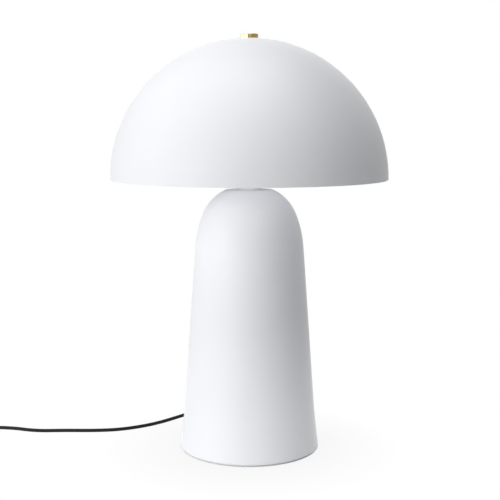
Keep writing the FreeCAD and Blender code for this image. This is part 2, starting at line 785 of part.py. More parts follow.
for side, sign in (("left", -1), ("right", 1)):
    across = dims.terminal_offset * sign
    tap_radius = dims.terminal_radius + dims.screw_clearance
    core_tools.append(cylinder(f"core_tap_{side}", tap_radius, dims.terminal_depth, (across, 0, ledge)))
    stem = cylinder(f"terminal_stem_{side}", dims.terminal_radius, dims.terminal_depth, (across, 0, ledge))
    head_low = ledge - dims.terminal_head_height
    head_place = (across, 0, head_low)
    head_sizes = (dims.terminal_head_radius, dims.terminal_head_height)
    head = cylinder(f"terminal_head_{side}", *head_sizes, head_place)
    terminals.append(fuse(f"terminal_{side}", stem, head))
keep(cut("holder_core", core_block, *core_tools), "holder_core")
keep(group("terminal_screws", *terminals), "terminal_screws")
shell_bore = named("shell_bore", dims.bulb_cap_radius + dims.screw_shell_clearance)
shell_radius = named("shell_radius", shell_bore + dims.screw_shell_wall)
mouth_radius = named("mouth_radius", shell_radius + dims.holder_mouth_clearance)
skirt_top = named("skirt_top", cap_top + dims.holder_skirt_height)
mouth_low = named("mouth_low", skirt_top - dims.holder_mouth_thickness)
skirt_corners = [
    (holder_inner, cap_top),
    (dims.holder_radius, cap_top),
    (dims.holder_radius, skirt_top),
    (mouth_radius, skirt_top),
    (mouth_radius, mouth_low),
    (holder_inner, mouth_low),
]
keep(turned("holder_skirt", skirt_corners), "holder_skirt")
shell_flange = named("shell_flange", shell_radius + dims.screw_shell_flange)
flange_top = named("flange_top", core_top + dims.screw_shell_flange_thickness)
shell_top = named("shell_top", core_top + dims.screw_shell_height)
sleeve_corners = [
    (shell_bore, core_top),
    (shell_flange, core_top),
    (shell_flange, flange_top),
    (shell_radius, flange_top),
    (shell_radius, shell_top),
    (shell_bore, shell_top),
]
keep(turned("screw_shell", sleeve_corners), "screw_shell")
stem_top = named("stem_top", core_top + dims.contact_stem_height)
contact_top = named("contact_top", stem_top + dims.contact_head_thickness)
contact_corners = [
    (0, core_top),
    (dims.contact_stem_radius, core_top),
    (dims.contact_stem_radius, stem_top),
    (dims.contact_head_radius, stem_top),
    (dims.contact_head_radius, contact_top),
    (0, contact_top),
]
keep(turned("centre_contact", contact_corners), "centre_contact")

# Bulb: tip contact, glass insulator, screw cap, collar, light board and globe
tip_low = named("tip_low", contact_top + dims.bulb_gap)
tip_top = named("tip_top", tip_low + dims.bulb_tip_height)
glass_top = named("glass_top", tip_top + dims.insulator_height)
keep(cylinder("bulb_contact", dims.bulb_tip_radius, dims.bulb_tip_height, (0, 0, tip_low)), "bulb_contact")
keep(
    cone(
        "bulb_insulator",
        dims.insulator_low_radius,
        dims.insulator_high_radius,
        dims.insulator_height,
        (0, 0, tip_top),
    ),
    "bulb_insulator",
)
cap_inner = named("cap_inner", dims.bulb_cap_radius - dims.bulb_cap_wall)
toe_top = named("toe_top", glass_top + dims.bulb_cap_toe)
bulb_cap_top = named("bulb_cap_top", glass_top + dims.bulb_cap_height)
toe_inner = named("toe_inner", dims.insulator_high_radius - dims.bulb_cap_toe)
bulb_cap_corners = [
    (toe_inner, glass_top),
    (dims.insulator_high_radius, glass_top),
    (dims.bulb_cap_radius, toe_top),
    (dims.bulb_cap_radius, bulb_cap_top),
    (cap_inner, bulb_cap_top),
    (cap_inner, toe_top + dims.bulb_cap_wall),
    (toe_inner, glass_top + dims.bulb_cap_wall),
]
keep(turned("bulb_cap", bulb_cap_corners), "bulb_cap")
neck_radius = named("neck_radius", cap_inner - dims.collar_neck_clearance)
neck_low = named("neck_low", bulb_cap_top - dims.collar_neck_depth)
collar_cone_top = named("collar_cone_top", bulb_cap_top + dims.collar_cone_height)
collar_top = named("collar_top", collar_cone_top + dims.collar_band_height)
drop_square = dims.globe_drop * dims.globe_drop
collar_outer = named("collar_outer", root(dims.globe_radius * dims.globe_radius - drop_square))
collar_inner = named("collar_inner", collar_outer - dims.bulb_collar_wall)
neck_inner = named("neck_inner", neck_radius - dims.bulb_collar_wall)
board_low = named("board_low", collar_cone_top - dims.board_thickness)
bulb_collar_corners = [
    (neck_radius, neck_low),
    (neck_radius, bulb_cap_top),
    (dims.collar_step_radius, bulb_cap_top),
    (collar_outer, collar_cone_top),
    (collar_outer, collar_top),
    (collar_inner, collar_top),
    (collar_inner, board_low),
    (collar_inner - dims.bulb_collar_wall, board_low),
    (neck_inner, bulb_cap_top),
    (neck_inner, neck_low),
]
keep(turned("bulb_collar", bulb_collar_corners), "bulb_collar")
board_radius = named("board_radius", collar_inner - dims.board_clearance)
keep(cylinder("led_board", board_radius, dims.board_thickness, (0, 0, board_low)), "led_board")
globe_centre = named("globe_centre", collar_top + dims.globe_drop)
globe_inner = named("globe_inner", dims.globe_radius - dims.globe_wall)
globe_mouth = named("globe_mouth", root(globe_inner * globe_inner - drop_square))
globe_corners = [
    (globe_mouth, collar_top),
    (collar_outer, collar_top),
    (dims.globe_radius, globe_centre),
    (0, globe_centre + dims.globe_radius),
    (0, globe_centre + globe_inner),
    (globe_inner, globe_centre),
]
globe_arcs = {
    1: (0, globe_centre, dims.globe_radius),
    2: (0, globe_centre, dims.globe_radius),
    4: (0, globe_centre, globe_inner),
    5: (0, globe_centre, globe_inner),
}
keep(turned("bulb_globe", globe_corners, globe_arcs), "bulb_globe")

# Shade with its bush and knob
shade_inner = named("shade_inner", dims.shade_radius - dims.shade_wall)
under_reach = crown_under - dome_centre
flat_inner = named("flat_inner", root(shade_inner * shade_inner - under_reach * under_reach))
shade_hole = named("shade_hole", dims.shank_radius + dims.shank_hole_clearance)
round_reach = named("round_reach", dims.shade_radius - dims.crown_flat_round)
round_drop = named("round_drop", dome_top - dome_centre - dims.crown_flat_round)
flat_edge = named("flat_edge", root(round_reach * round_reach - round_drop * round_drop))
round_share = named("round_share", dims.shade_radius / round_reach)
shade_corners = [
    (dims.shade_radius, rim_height),
    (dims.shade_radius, dome_centre),
    (flat_edge * round_share, dome_centre + round_drop * round_share),
    (flat_edge, dome_top),
    (shade_hole, dome_top),
    (shade_hole, crown_under),
    (flat_inner, crown_under),
    (shade_inner, dome_centre),
    (shade_inner, rim_height),
]
shade_arcs = {
    1: (0, dome_centre, dims.shade_radius),
    2: (flat_edge, dome_top - dims.crown_flat_round, dims.crown_flat_round),
    6: (0, dome_centre, shade_inner),
}
shade = keep(turned("shade", shade_corners, shade_arcs), "shade")
dress(shade, "Fillet", dims.rim_round, is_ring(dims.shade_radius, rim_height))
dress(shade, "Fillet", dims.rim_round, is_ring(shade_inner, rim_height))
thread_radius = named("thread_radius", dims.shank_radius + dims.thread_clearance)
bush_flange_low = named("bush_flange_low", crown_under - dims.bush_flange_thickness)
bush_corners = [
    (0, socket_end),
    (socket_radius, socket_end),
    (socket_radius, bush_low),
    (dims.bush_radius, bush_low),
    (dims.bush_radius, bush_flange_low),
    (dims.bush_flange_radius, bush_flange_low),
    (dims.bush_flange_radius, crown_under),
    (thread_radius, crown_under),
    (thread_radius, thread_end),
    (0, thread_end),
]
keep(turned("shade_bush", bush_corners), "shade_bush")
knob_seat = named("knob_seat", dome_top + dims.knob_washer_thickness)
knob_low = named("knob_low", dome_top + dims.knob_lift)
knob_top = named("knob_top", knob_low + dims.knob_height)
keep(ring("knob_washer", shade_hole, dims.knob_washer_radius, dome_top, knob_seat), "knob_washer")
knob_recess = named("knob_recess", dims.knob_washer_radius + dims.knob_washer_clearance)
knob_corners = [
    (0, dome_top - dims.shank_length),
    (dims.shank_radius, dome_top - dims.shank_length),
    (dims.shank_radius, knob_seat),
    (knob_recess, knob_seat),
    (knob_recess, knob_low),
    (dims.knob_radius, knob_low),
    (dims.knob_radius, knob_top),
    (0, knob_top),
]
knob = keep(turned("knob", knob_corners), "knob")
dress(knob, "Chamfer", dims.knob_chamfer, is_ring(dims.knob_radius, knob_top))


# Cord tubes
def rounded_path(points):
    """Straight runs joined by the largest tangent arcs that both runs allow, and the arcs' radii."""
    edges = []
    radii = []
    start = points[0]
    for before, corner, after in zip(points, points[1:], points[2:]):
        arriving = corner - before
        leaving = after - corner
        reach = ARC_SHARE * min(arriving.Length, leaving.Length)
        half_turn = arriving.getAngle(leaving) / 2
        radius = reach / math.tan(half_turn)
        arriving.normalize()
        leaving.normalize()
        arc_start = corner - arriving * reach
        arc_stop = corner + leaving * reach
        middle = (leaving - arriving).normalize()
        arc_middle = corner + middle * (radius / math.cos(half_turn) - radius)
        edges.append(Part.LineSegment(start, arc_start).toShape())
        edges.append(Part.Arc(arc_start, arc_middle, arc_stop).toShape())
        radii.append(radius)
        start = arc_stop
    edges.append(Part.LineSegment(start, points[-1]).toShape())
    return edges, radii


def swept(edges, radius):
    path = Part.Wire(edges)
    start = edges[0].valueAt(edges[0].FirstParameter)
    heading = edges[0].tangentAt(edges[0].FirstParameter)
    section = Part.Wire(Part.Circle(start, heading, radius).toShape())
    tube = path.makePipeShell([section], True, False)
    expected = math.pi * radius ** 2 * path.Length
    if abs(tube.Volume - expected) > 0.01 * expected:
        raise RuntimeError(f"tube volume {tube.Volume:.1f} differs from {expected:.1f}")
    return tube


def tube(label, points, radius):
    edges, radii = rounded_path(points)
    item = doc.addObject("Part::Feature", label)
    item.Shape = swept(edges, radius)
    item.Placement = FreeCAD.Placement()
    length = sum(edge.Length for edge in edges)
    print(label, "length", round(length, 1), "radii", [round(value, 1) for value in radii])
    return item


cord_radius = dims.cord_radius.value
on_table = cord_radius + dims.floor_clearance.value
relief_face = named("relief_face", flare_at(dims.exit_height - dims.relief_flange_radius, flare_arc))
relief_end = named("relief_end", relief_face + dims.relief_length)
inner_wall = named("inner_wall", flare_at(dims.exit_height + dims.relief_catch_radius, inner_flare_arc))
catch_face = named("catch_face", inner_wall - dims.relief_catch_gap)
catch_end = named("catch_end", catch_face - dims.relief_catch_thickness)
cord_bore = named("cord_bore", dims.cord_radius + dims.cord_bore_clearance)
neck_length = named("neck_length", relief_face - catch_face)
neck_end = named("neck_end", dims.relief_catch_thickness + neck_length)
relief_step = named("relief_step", neck_end + dims.relief_flange_thickness)
relief_corners = [
    (cord_bore, 0),
    (dims.relief_catch_radius, 0),
    (dims.relief_catch_radius, dims.relief_catch_thickness),
    (dims.relief_neck_radius, dims.relief_catch_thickness),
    (dims.relief_neck_radius, neck_end),
    (dims.relief_flange_radius, neck_end),
    (dims.relief_flange_radius, relief_step),
    (dims.relief_root_radius, relief_step),
    (dims.relief_tip_radius, neck_end + dims.relief_length),
    (cord_bore, neck_end + dims.relief_length),
]
relief = keep(turned("cord_bushing", relief_corners), "cord_bushing")
relief.Placement = FreeCAD.Placement(Vector(), ALONG_Y)
place(relief, 0, catch_end, dims.exit_height)

exit_point = Vector(0, relief_end.value, dims.exit_height.value)
cord_top = Vector(0, 0, holder_floor.value)
inner_points = [exit_point] + [Vector(*point) for point in INNER_ROUTE] + [cord_top]
inner_points[1].z = exit_point.z
keep(tube("inner_cord", inner_points, cord_radius), "inner_cord")
for side, sign in (("left", -1), ("right", 1)):
    near = dims.lead_offset.value * sign
    far = dims.terminal_offset.value * sign
    bend_low = nipple_top.value + dims.lead_radius.value
    head_low = ledge.value - dims.terminal_head_height.value
    bend_high = (bend_low + head_low) / 2
    lead_points = [
        Vector(near, 0, holder_floor.value),
        Vector(near, 0, bend_low),
        Vector(far, 0, bend_high),
        Vector(far, 0, head_low),
    ]
    leads.append(tube(f"lead_{side}", lead_points, dims.lead_radius.value))
keep(group("lead_wires", *leads), "lead_wires")

cord_line = named("cord_line", dims.floor_clearance + dims.switch_base_height)
run_end = Vector(dims.switch_x.value - dims.cord_entry.value, dims.switch_y.value, cord_line.value)
run_points = [Vector(across, back, on_table) for across, back in RUN_ROUTE]
run_points[0] = Vector(exit_point.x, run_points[0].y, exit_point.z)
run_points[-1] = Vector(run_points[-1].x, run_end.y, run_end.z)
keep(tube("cord_run", [exit_point] + run_points + [run_end], cord_radius), "cord_run")

# Switch on the cord: two half shells, a rocker on its pin, screws and terminal strips
switch_far = named("switch_far", dims.switch_x - dims.switch_length)
switch_middle = named("switch_middle", dims.switch_x - dims.switch_length / 2)
switch_front = named("switch_front", dims.switch_y - dims.switch_width / 2)
base_low = dims.floor_clearance
cover_top = named("cover_top", cord_line + dims.switch_cover_height)
room_length = named("room_length", dims.switch_length - 2 * dims.switch_wall)
room_width = named("room_width", dims.switch_width - 2 * dims.switch_wall)
room_x = named("room_x", switch_far + dims.switch_wall)
room_y = named("room_y", switch_front + dims.switch_wall)


def rounded_block(name, length, width, height, corner_round, at):
    body = new_body(name)
    block = body.newObject("PartDesign::AdditiveBox", name + "_box")
    bind(block, "Length", length)
    bind(block, "Width", width)
    bind(block, "Height", height)
    place(body, *at)
    dress(body, "Fillet", corner_round, is_upright)
    return body


def half_shell(name, low, height, soft_edge):
    """Outside of one half, with the edges round its soft end eased."""
    at = (switch_far, switch_front, low)
    body = rounded_block(name, dims.switch_length, dims.switch_width, height, dims.switch_round, at)

    def wanted(edge):
        box = edge.BoundBox
        return abs(box.ZMin - soft_edge.value) < 1e-4 and abs(box.ZMax - soft_edge.value) < 1e-4

    dress(body, "Fillet", dims.switch_edge_round, wanted)
    return body


def half_room(name, low, height):
    """Inside of one half, one wall in from the outside."""
    corner_round = dims.switch_round - dims.switch_wall
    return rounded_block(name, room_length, room_width, height, corner_round, (room_x, room_y, low))


def bosses(name, radius, low, height):
    made = []
    for side, sign in (("near", 1), ("far", -1)):
        at = (switch_middle + dims.switch_boss_offset * sign, dims.switch_y, low)
        made.append(cylinder(f"{name}_{side}", radius, height, at))
    return made


base_floor = named("base_floor", base_low + dims.switch_wall)
base_room = named("base_room", dims.switch_base_height - dims.switch_wall)
base_cavity = half_room("switch_base_room", base_floor, base_room)
base_bosses = bosses("base_boss", dims.switch_boss_radius, base_floor, base_room)
base_room_clear = cut("switch_base_cavity", base_cavity, *base_bosses)
switch_hole = named("switch_hole", dims.switch_screw_radius + dims.screw_clearance)
switch_sink = named("switch_sink", dims.switch_screw_head_radius + dims.screw_clearance)
sink_depth = named("sink_depth", dims.switch_screw_head_height + dims.screw_clearance)
passage_length = named("passage_length", dims.switch_wall + dims.cord_radius)
passage_starts = {"far": switch_far, "near": dims.switch_x - passage_length}
end_passages = []
for half_name in ("base", "cover"):
    passages = []
    for end_name, start_x in passage_starts.items():
        passage_place = (start_x, dims.switch_y, cord_line)
        passage_name = f"{half_name}_passage_{end_name}"
        passages.append(cylinder(passage_name, cord_bore, passage_length, passage_place, ALONG_X))
    end_passages.append(passages)
base_tools = [base_room_clear] + end_passages[0]
base_tools += bosses("base_screw_hole", switch_hole, base_low, dims.switch_base_height)
base_tools += bosses("base_screw_sink", switch_sink, base_low, sink_depth)
base_half = half_shell("switch_base_shell", base_low, dims.switch_base_height, as_size(0))
keep(cut("switch_base", base_half, *base_tools), "switch_base")

cover_room = named("cover_room", dims.switch_cover_height - dims.switch_wall)
cover_cavity = half_room("switch_cover_room", cord_line, cover_room)
cover_bosses = bosses("cover_boss", dims.switch_boss_radius, cord_line, cover_room)
cover_room_clear = cut("switch_cover_cavity", cover_cavity, *cover_bosses)
window_length = named("window_length", dims.rocker_length + 2 * dims.rocker_end_gap)
window_width = named("window_width", dims.rocker_width + 2 * dims.rocker_side_gap)
window_at = (switch_middle - window_length / 2, dims.switch_y - window_width / 2, cord_line)
window = box("switch_window", window_length, window_width, dims.switch_cover_height, window_at)
pivot = named("pivot", cord_line + dims.rocker_pivot_height)
pin_length = named("pin_length", room_width + 2 * dims.pin_seat)
pin_at = (switch_middle, dims.switch_y - pin_length / 2, pivot)
pin_hole = named("pin_hole", dims.pin_radius + dims.pin_clearance)
pin_tunnel = cylinder("pin_tunnel", pin_hole, pin_length, pin_at, ALONG_Y)
screw_reach = named("screw_reach", base_low + sink_depth + dims.switch_screw_length - cord_line)
cover_tools = [cover_room_clear, window, pin_tunnel] + end_passages[1]
cover_tools += bosses("cover_screw_hole", switch_hole, cord_line, screw_reach + dims.screw_clearance)
cover_half = half_shell("switch_cover_shell", cord_line, dims.switch_cover_height, dims.switch_cover_height)
keep(cut("switch_cover", cover_half, *cover_tools), "switch_cover")
keep(cylinder("switch_pin", dims.pin_radius, pin_length, pin_at, ALONG_Y), "switch_pin")

head_low = named("head_low", base_low + dims.screw_clearance)
heads = bosses("switch_screw_head", dims.switch_screw_head_radius, head_low, dims.switch_screw_head_height)
shank_low = base_low + sink_depth
shanks = bosses("switch_screw_shank", dims.switch_screw_radius, shank_low, dims.switch_screw_length)
screws = []
for sign, head, shank in zip((1, -1), heads, shanks):
    whole_screw = fuse(f"{shank.Name}_blank", head, shank)
    across = switch_middle + dims.switch_boss_offset * sign
    slots = cross_slots(shank.Name, across, dims.switch_y, head_low)
    screws.append(cut(f"{shank.Name}_cut", whole_screw, *slots))
keep(group("switch_screws", *screws), "switch_screws")
strips = []
for side, sign in (("front", -1), ("back", 1)):
    strip_y = dims.switch_y + dims.terminal_strip_offset * sign - dims.terminal_strip_width / 2
    strip_at = (switch_middle - dims.terminal_strip_length / 2, strip_y, base_floor)
    strip_size = (dims.terminal_strip_length, dims.terminal_strip_width, dims.terminal_strip_height)
    strips.append(box(f"terminal_strip_{side}", *strip_size, strip_at))
keep(group("switch_contacts", *strips), "switch_contacts")

rocker_body = new_body("rocker_blank")
rocker_sketch = new_sketch(rocker_body, "XZ_Plane", "rocker_outline")
rocker_half = named("rocker_half", dims.rocker_length / 2)
rocker_corners = [
    (-rocker_half, dims.rocker_end_low),
    (-dims.rocker_belly_half, -dims.rocker_belly),
    (dims.rocker_belly_half, -dims.rocker_belly),
    (rocker_half, dims.rocker_end_low),
    (rocker_half, dims.rocker_end),
    (0, dims.rocker_middle),
    (-rocker_half, dims.rocker_end),
]
outline(rocker_sketch, rocker_corners, {})
rocker_pad = rocker_body.newObject("PartDesign::Pad", "rocker_pad")
rocker_pad.Profile = rocker_sketch
bind(rocker_pad, "Length", dims.rocker_width)
rocker_pad.SideType = "Symmetric"
rocker_turn = Rotation(Vector(0, 1, 0), dims.rocker_tilt.value)
rocker_body.Placement = FreeCAD.Placement(Vector(), rocker_turn)
place(rocker_body, switch_middle, dims.switch_y, pivot)
rocker_bore = cylinder("rocker_bore", pin_hole, pin_length, pin_at, ALONG_Y)
keep(cut("switch_rocker", rocker_body, rocker_bore), "switch_rocker")

# Spare length: a two-layer coil that spirals in, climbs where it reverses, and spirals out again
coil_centre = Vector(dims.coil_x.value, dims.coil_y.value, dims.coil_lift.value + cord_radius)
coil_outer = dims.coil_outer_radius.value
coil_pitch = dims.coil_pitch.value
coil_layer = dims.coil_layer.value


def coil_point(turn):
    """Point on the coil after a number of turns from its left side."""
    inward = min(turn, COIL_TURNS - turn)
    radius = coil_outer - coil_pitch * inward
    climb = min(max((turn - COIL_TURNS / 2 + 0.25) / 0.5, 0.0), 1.0)
    angle = math.pi + 2 * math.pi * turn
    rise = coil_layer * climb * climb * (3 - 2 * climb)
    return coil_centre + Vector(radius * math.cos(angle), radius * math.sin(angle), rise)


def coil_heading(turn):
    if turn in (0, COIL_TURNS):
        return Vector(0, -1, 0)
    step = 0.5 / ARCS_PER_TURN
    return (coil_point(turn + step) - coil_point(turn - step)).normalize()


def arc_from(start, heading, stop):
    chord = stop - start
    side = (chord - heading * chord.dot(heading)).normalize()
    radius = chord.dot(chord) / (2 * chord.dot(side))
    centre = start + side * radius
    outward = ((start + stop) * 0.5 - centre).normalize()
    return Part.Arc(start, centre + outward * radius, stop).toShape()


def biarc(start, heading, stop, final):
    chord = stop - start
    along_both = chord.dot(heading + final)
    share = 1 - heading.dot(final)
    reach = (math.sqrt(along_both ** 2 + 2 * share * chord.dot(chord)) - along_both) / (2 * share)
    joint = (start + stop + (heading - final) * reach) * 0.5
    return [arc_from(start, heading, joint), arc_from(stop, final * -1, joint)]


def least_gap(points, skip, width):
    least = math.inf
    for index, point in enumerate(points):
        for other in points[index + skip:]:
            least = min(least, (point - other).Length)
    return least - width


coil_steps = [index / ARCS_PER_TURN for index in range(COIL_TURNS * ARCS_PER_TURN + 1)]
coil_edges = []
for turn, following in zip(coil_steps, coil_steps[1:]):
    coil_edges += biarc(coil_point(turn), coil_heading(turn), coil_point(following), coil_heading(following))
lead = Vector(0, -2 * cord_radius, 0)
coil_start = coil_point(0) - lead
coil_stop = coil_point(COIL_TURNS) + lead
coil_path = [Part.LineSegment(coil_start, coil_point(0)).toShape()]
coil_path += Part.sortEdges(coil_edges)[0]
coil_path.append(Part.LineSegment(coil_point(COIL_TURNS), coil_stop).toShape())
sample_count = COIL_TURNS * GAP_STEPS_PER_TURN + 1
coil_samples = [coil_point(index / GAP_STEPS_PER_TURN) for index in range(sample_count)]
print("coil least gap", round(least_gap(coil_samples, GAP_STEPS_PER_TURN // 2, 2 * cord_radius), 3))
print("coil length", round(sum(edge.Length for edge in coil_path), 1))
coil = doc.addObject("Part::Feature", "cord_coil")
coil.Shape = swept(coil_path, cord_radius)
coil.Placement = FreeCAD.Placement()
keep(coil, "cord_coil")
link_points = [Vector(*point) for point in LINK_ROUTE]
link_points[0] = Vector(link_points[0].x, dims.switch_y.value, cord_line.value)
link_points[-1] = Vector(coil_start.x, link_points[-1].y, coil_start.z)
link_start = Vector(switch_far.value + dims.cord_entry.value, dims.switch_y.value, cord_line.value)
keep(tube("cord_link", [link_start] + link_points + [coil_start], cord_radius), "cord_link")

tie_inner_ring = dims.coil_outer_radius - dims.coil_pitch * (COIL_TURNS / 2 - 0.5) - dims.cord_radius
half_tie = dims.tie_width / 2
tie_near = dims.coil_x + root(tie_inner_ring * tie_inner_ring - half_tie * half_tie) - 2 * dims.tie_gap
tie_far = dims.coil_x + dims.coil_outer_radius - dims.coil_pitch / 2 + dims.cord_radius + 2 * dims.tie_gap
tie_low = named("tie_low", dims.coil_lift - dims.tie_under_gap)
tie_high = named("tie_high", dims.coil_lift + 2 * dims.cord_radius + dims.coil_layer + dims.tie_gap)
tie_front = dims.coil_y - half_tie
tie_wall = dims.tie_thickness
tie_inside = (tie_near, tie_front, tie_low)
tie_room = box("tie_room", tie_far - tie_near, dims.tie_width, tie_high - tie_low, tie_inside)
tie_outside = (tie_near - tie_wall, tie_front, tie_low - tie_wall)
tie_block = box(
    "tie_block",
    tie_far - tie_near + 2 * tie_wall,
    dims.tie_width,
    tie_high - tie_low + 2 * tie_wall,
    tie_outside,
)
keep(cut("coil_tie", tie_block, tie_room), "coil_tie")

# Plug in front of the coil
plug_start = coil_stop + Vector(0, -dims.plug_lead.value, 0)
keep(tube("cord_tail", [coil_stop, plug_start], cord_radius), "cord_tail")
plug_x = named("plug_x", dims.coil_x - dims.coil_outer_radius)
plug_y = named("plug_y", dims.coil_y - 2 * dims.cord_radius - dims.plug_lead)
plug_z = named("plug_z", dims.coil_lift + dims.cord_radius + dims.coil_layer)
relief_cone = cone(
    "plug_relief",
    dims.plug_relief_tip_radius,
    dims.plug_relief_root_radius,
    dims.plug_relief_length,
    (plug_x, plug_y, plug_z),
    TOWARDS_FRONT,
)
plug_shell = new_body("plug_shell")
plug_sketch = new_sketch(plug_shell, "XY_Plane", "plug_outline")
plug_corners = [
    (-dims.plug_neck_half_width, 0),
    (-dims.plug_waist_half_width, -dims.plug_waist_at),
    (-dims.plug_half_width, -dims.plug_wide_at),
    (-dims.plug_half_width, -dims.plug_length),
    (dims.plug_half_width, -dims.plug_length),
    (dims.plug_half_width, -dims.plug_wide_at),
    (dims.plug_waist_half_width, -dims.plug_waist_at),
    (dims.plug_neck_half_width, 0),
]
outline(plug_sketch, plug_corners, {})
plug_pad = plug_shell.newObject("PartDesign::Pad", "plug_pad")
plug_pad.Profile = plug_sketch
bind(plug_pad, "Length", 2 * dims.plug_half_thickness)
plug_pad.SideType = "Symmetric"
plug_face = named("plug_face", plug_y - dims.plug_relief_length)


def is_plug_rim(edge):
    middle = edge.CenterOfMass
    on_rim = abs(abs(middle.z) - dims.plug_half_thickness.value) < 1e-4
    return on_rim and middle.y > -dims.plug_length.value + 1e-4


dress(plug_shell, "Fillet", dims.plug_corner_round, is_upright)
dress(plug_shell, "Fillet", dims.plug_round, is_plug_rim)
place(plug_shell, plug_x, plug_face, plug_z)
keep(fuse("plug_body", plug_shell, relief_cone), "plug_body")
pins = []
pin_face = named("pin_face", plug_face - dims.plug_length)
straight = named("straight", dims.plug_pin_length - dims.plug_pin_chamfer)
for side, sign in (("left", -1), ("right", 1)):
    pin_x = plug_x + dims.plug_pin_spacing * (sign / 2)
    stem_place = (pin_x, pin_face, plug_z)
    stem = cylinder(f"plug_pin_stem_{side}", dims.plug_pin_radius, straight, stem_place, TOWARDS_FRONT)
    nose_radius = dims.plug_pin_radius - dims.plug_pin_chamfer
    nose_at = (pin_x, pin_face - straight, plug_z)
    nose_sizes = (dims.plug_pin_radius, nose_radius, dims.plug_pin_chamfer)
    nose = cone(f"plug_pin_nose_{side}", *nose_sizes, nose_at, TOWARDS_FRONT)
    pins.append(fuse(f"plug_pin_{side}", stem, nose))
keep(group("plug_pins", *pins), "plug_pins")

doc.recompute()
for item in doc.Objects:
    if "Invalid" in item.State or "Error" in item.State:
        raise RuntimeError(f"{item.Name} failed: {item.State}")
for piece in pieces:
    if piece.Shape.isNull() or not piece.Shape.isValid():
        raise RuntimeError(f"{piece.Label} has no valid shape")
os.makedirs("parts", exist_ok=True)
for piece in pieces:
    piece.Shape.exportStep(f"parts/{piece.Label}.step")
    bounds = piece.Shape.BoundBox
    low_corner = (bounds.XMin, bounds.YMin, bounds.ZMin)
    high_corner = (bounds.XMax, bounds.YMax, bounds.ZMax)
    corner = [round(value, 2) for value in low_corner + high_corner]
    print(piece.Label, len(piece.Shape.Solids), round(piece.Shape.Volume, 1), corner)
print(len(pieces), "nodes")
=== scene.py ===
# %% [markdown]
# The lamp. It is a domed shade on a tapered base, both of coated steel, with a brass knob on the crown
# and a dark cord at the back. Its solids are packed at their real size and could be shown as they are.
# Here they are loaded as a fixed frame that the cells below dress: most pieces keep their shape and get a
# finish, and a few whose solids are too plain get a better shape in the same place.

# %% Load the frame
import json
import math

import bmesh
import bpy
from mathutils import Matrix, Vector


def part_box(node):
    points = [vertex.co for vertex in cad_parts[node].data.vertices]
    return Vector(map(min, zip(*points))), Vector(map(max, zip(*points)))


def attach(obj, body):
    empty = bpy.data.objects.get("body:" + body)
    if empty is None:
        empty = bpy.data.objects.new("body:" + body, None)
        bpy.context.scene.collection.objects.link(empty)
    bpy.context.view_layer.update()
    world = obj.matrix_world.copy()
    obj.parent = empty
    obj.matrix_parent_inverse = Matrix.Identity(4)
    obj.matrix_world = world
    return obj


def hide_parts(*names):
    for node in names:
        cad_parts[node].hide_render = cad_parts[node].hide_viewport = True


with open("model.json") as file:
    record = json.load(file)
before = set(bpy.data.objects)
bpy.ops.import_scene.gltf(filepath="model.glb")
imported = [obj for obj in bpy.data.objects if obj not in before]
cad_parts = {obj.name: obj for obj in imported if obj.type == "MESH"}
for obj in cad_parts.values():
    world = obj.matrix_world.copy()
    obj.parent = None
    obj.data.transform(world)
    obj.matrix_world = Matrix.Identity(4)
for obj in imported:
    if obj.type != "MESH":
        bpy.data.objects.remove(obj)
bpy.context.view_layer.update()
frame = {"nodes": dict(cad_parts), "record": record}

nodes = frame["nodes"]
scene = bpy.context.scene
mm = 0.001


# %% [markdown]
# The camera. The lamp was photographed from a little above its middle, with a long lens, so the rim of
# the shade shows only as a thin ellipse. A camera could be aimed with a constraint at the lamp's centre,
# but here its place, its tilt and its lens came from fitting the outlines of the shade and the foot, so
# they are written down as they are.

# %% Camera
sensor_width = 36.0
lens_length = 74.71
sideways_shift = 0.0012
camera_place = (0.0, -1.12886, 0.36584)
degrees_down = 7.288
camera_data = bpy.data.cameras.new("photo_camera")
camera_data.sensor_width = sensor_width
camera_data.lens = lens_length
camera_data.shift_x = sideways_shift
camera = bpy.data.objects.new("photo_camera", camera_data)
scene.collection.objects.link(camera)
camera.location = camera_place
camera.rotation_euler = (math.radians(90.0 - degrees_down), 0.0, 0.0)
scene.camera = camera
print("camera at", camera_place, "lens", lens_length, "looking down", degrees_down, "degrees")

# %% [markdown]
# The cord. A lamp cord is a slim round cable that lies under its own weight, so it is one smooth line
# with a round section. It could be a mesh swept along a path, but a NURBS spline with a bevel stays a
# curve whose length can be measured. Each point carries the cord's radius, so the bevel depth is one. The
# spline's order is set after its points are added, because before that Blender would keep it at straight
# runs.

# %% Cord helper
cord_radius = 2.0 * mm
section_steps = 5


def cord_curve(name, points, steps):
    curve = bpy.data.curves.new(name, "CURVE")
    curve.dimensions = "3D"
    spline = curve.splines.new("NURBS")
    spline.points.add(len(points) - 1)
    for control, point in zip(spline.points, points):
        control.co = (*point, 1.0)
        control.radius = cord_radius
    spline.order_u = 3
    spline.use_endpoint_u = True
    spline.resolution_u = steps
    curve.bevel_depth = 1.0
    curve.bevel_resolution = section_steps
    curve.use_fill_caps = True
    cord = bpy.data.objects.new(name, curve)
    scene.collection.objects.link(cord)
    return cord


print("cords are", 2.0 * cord_radius, "m thick")
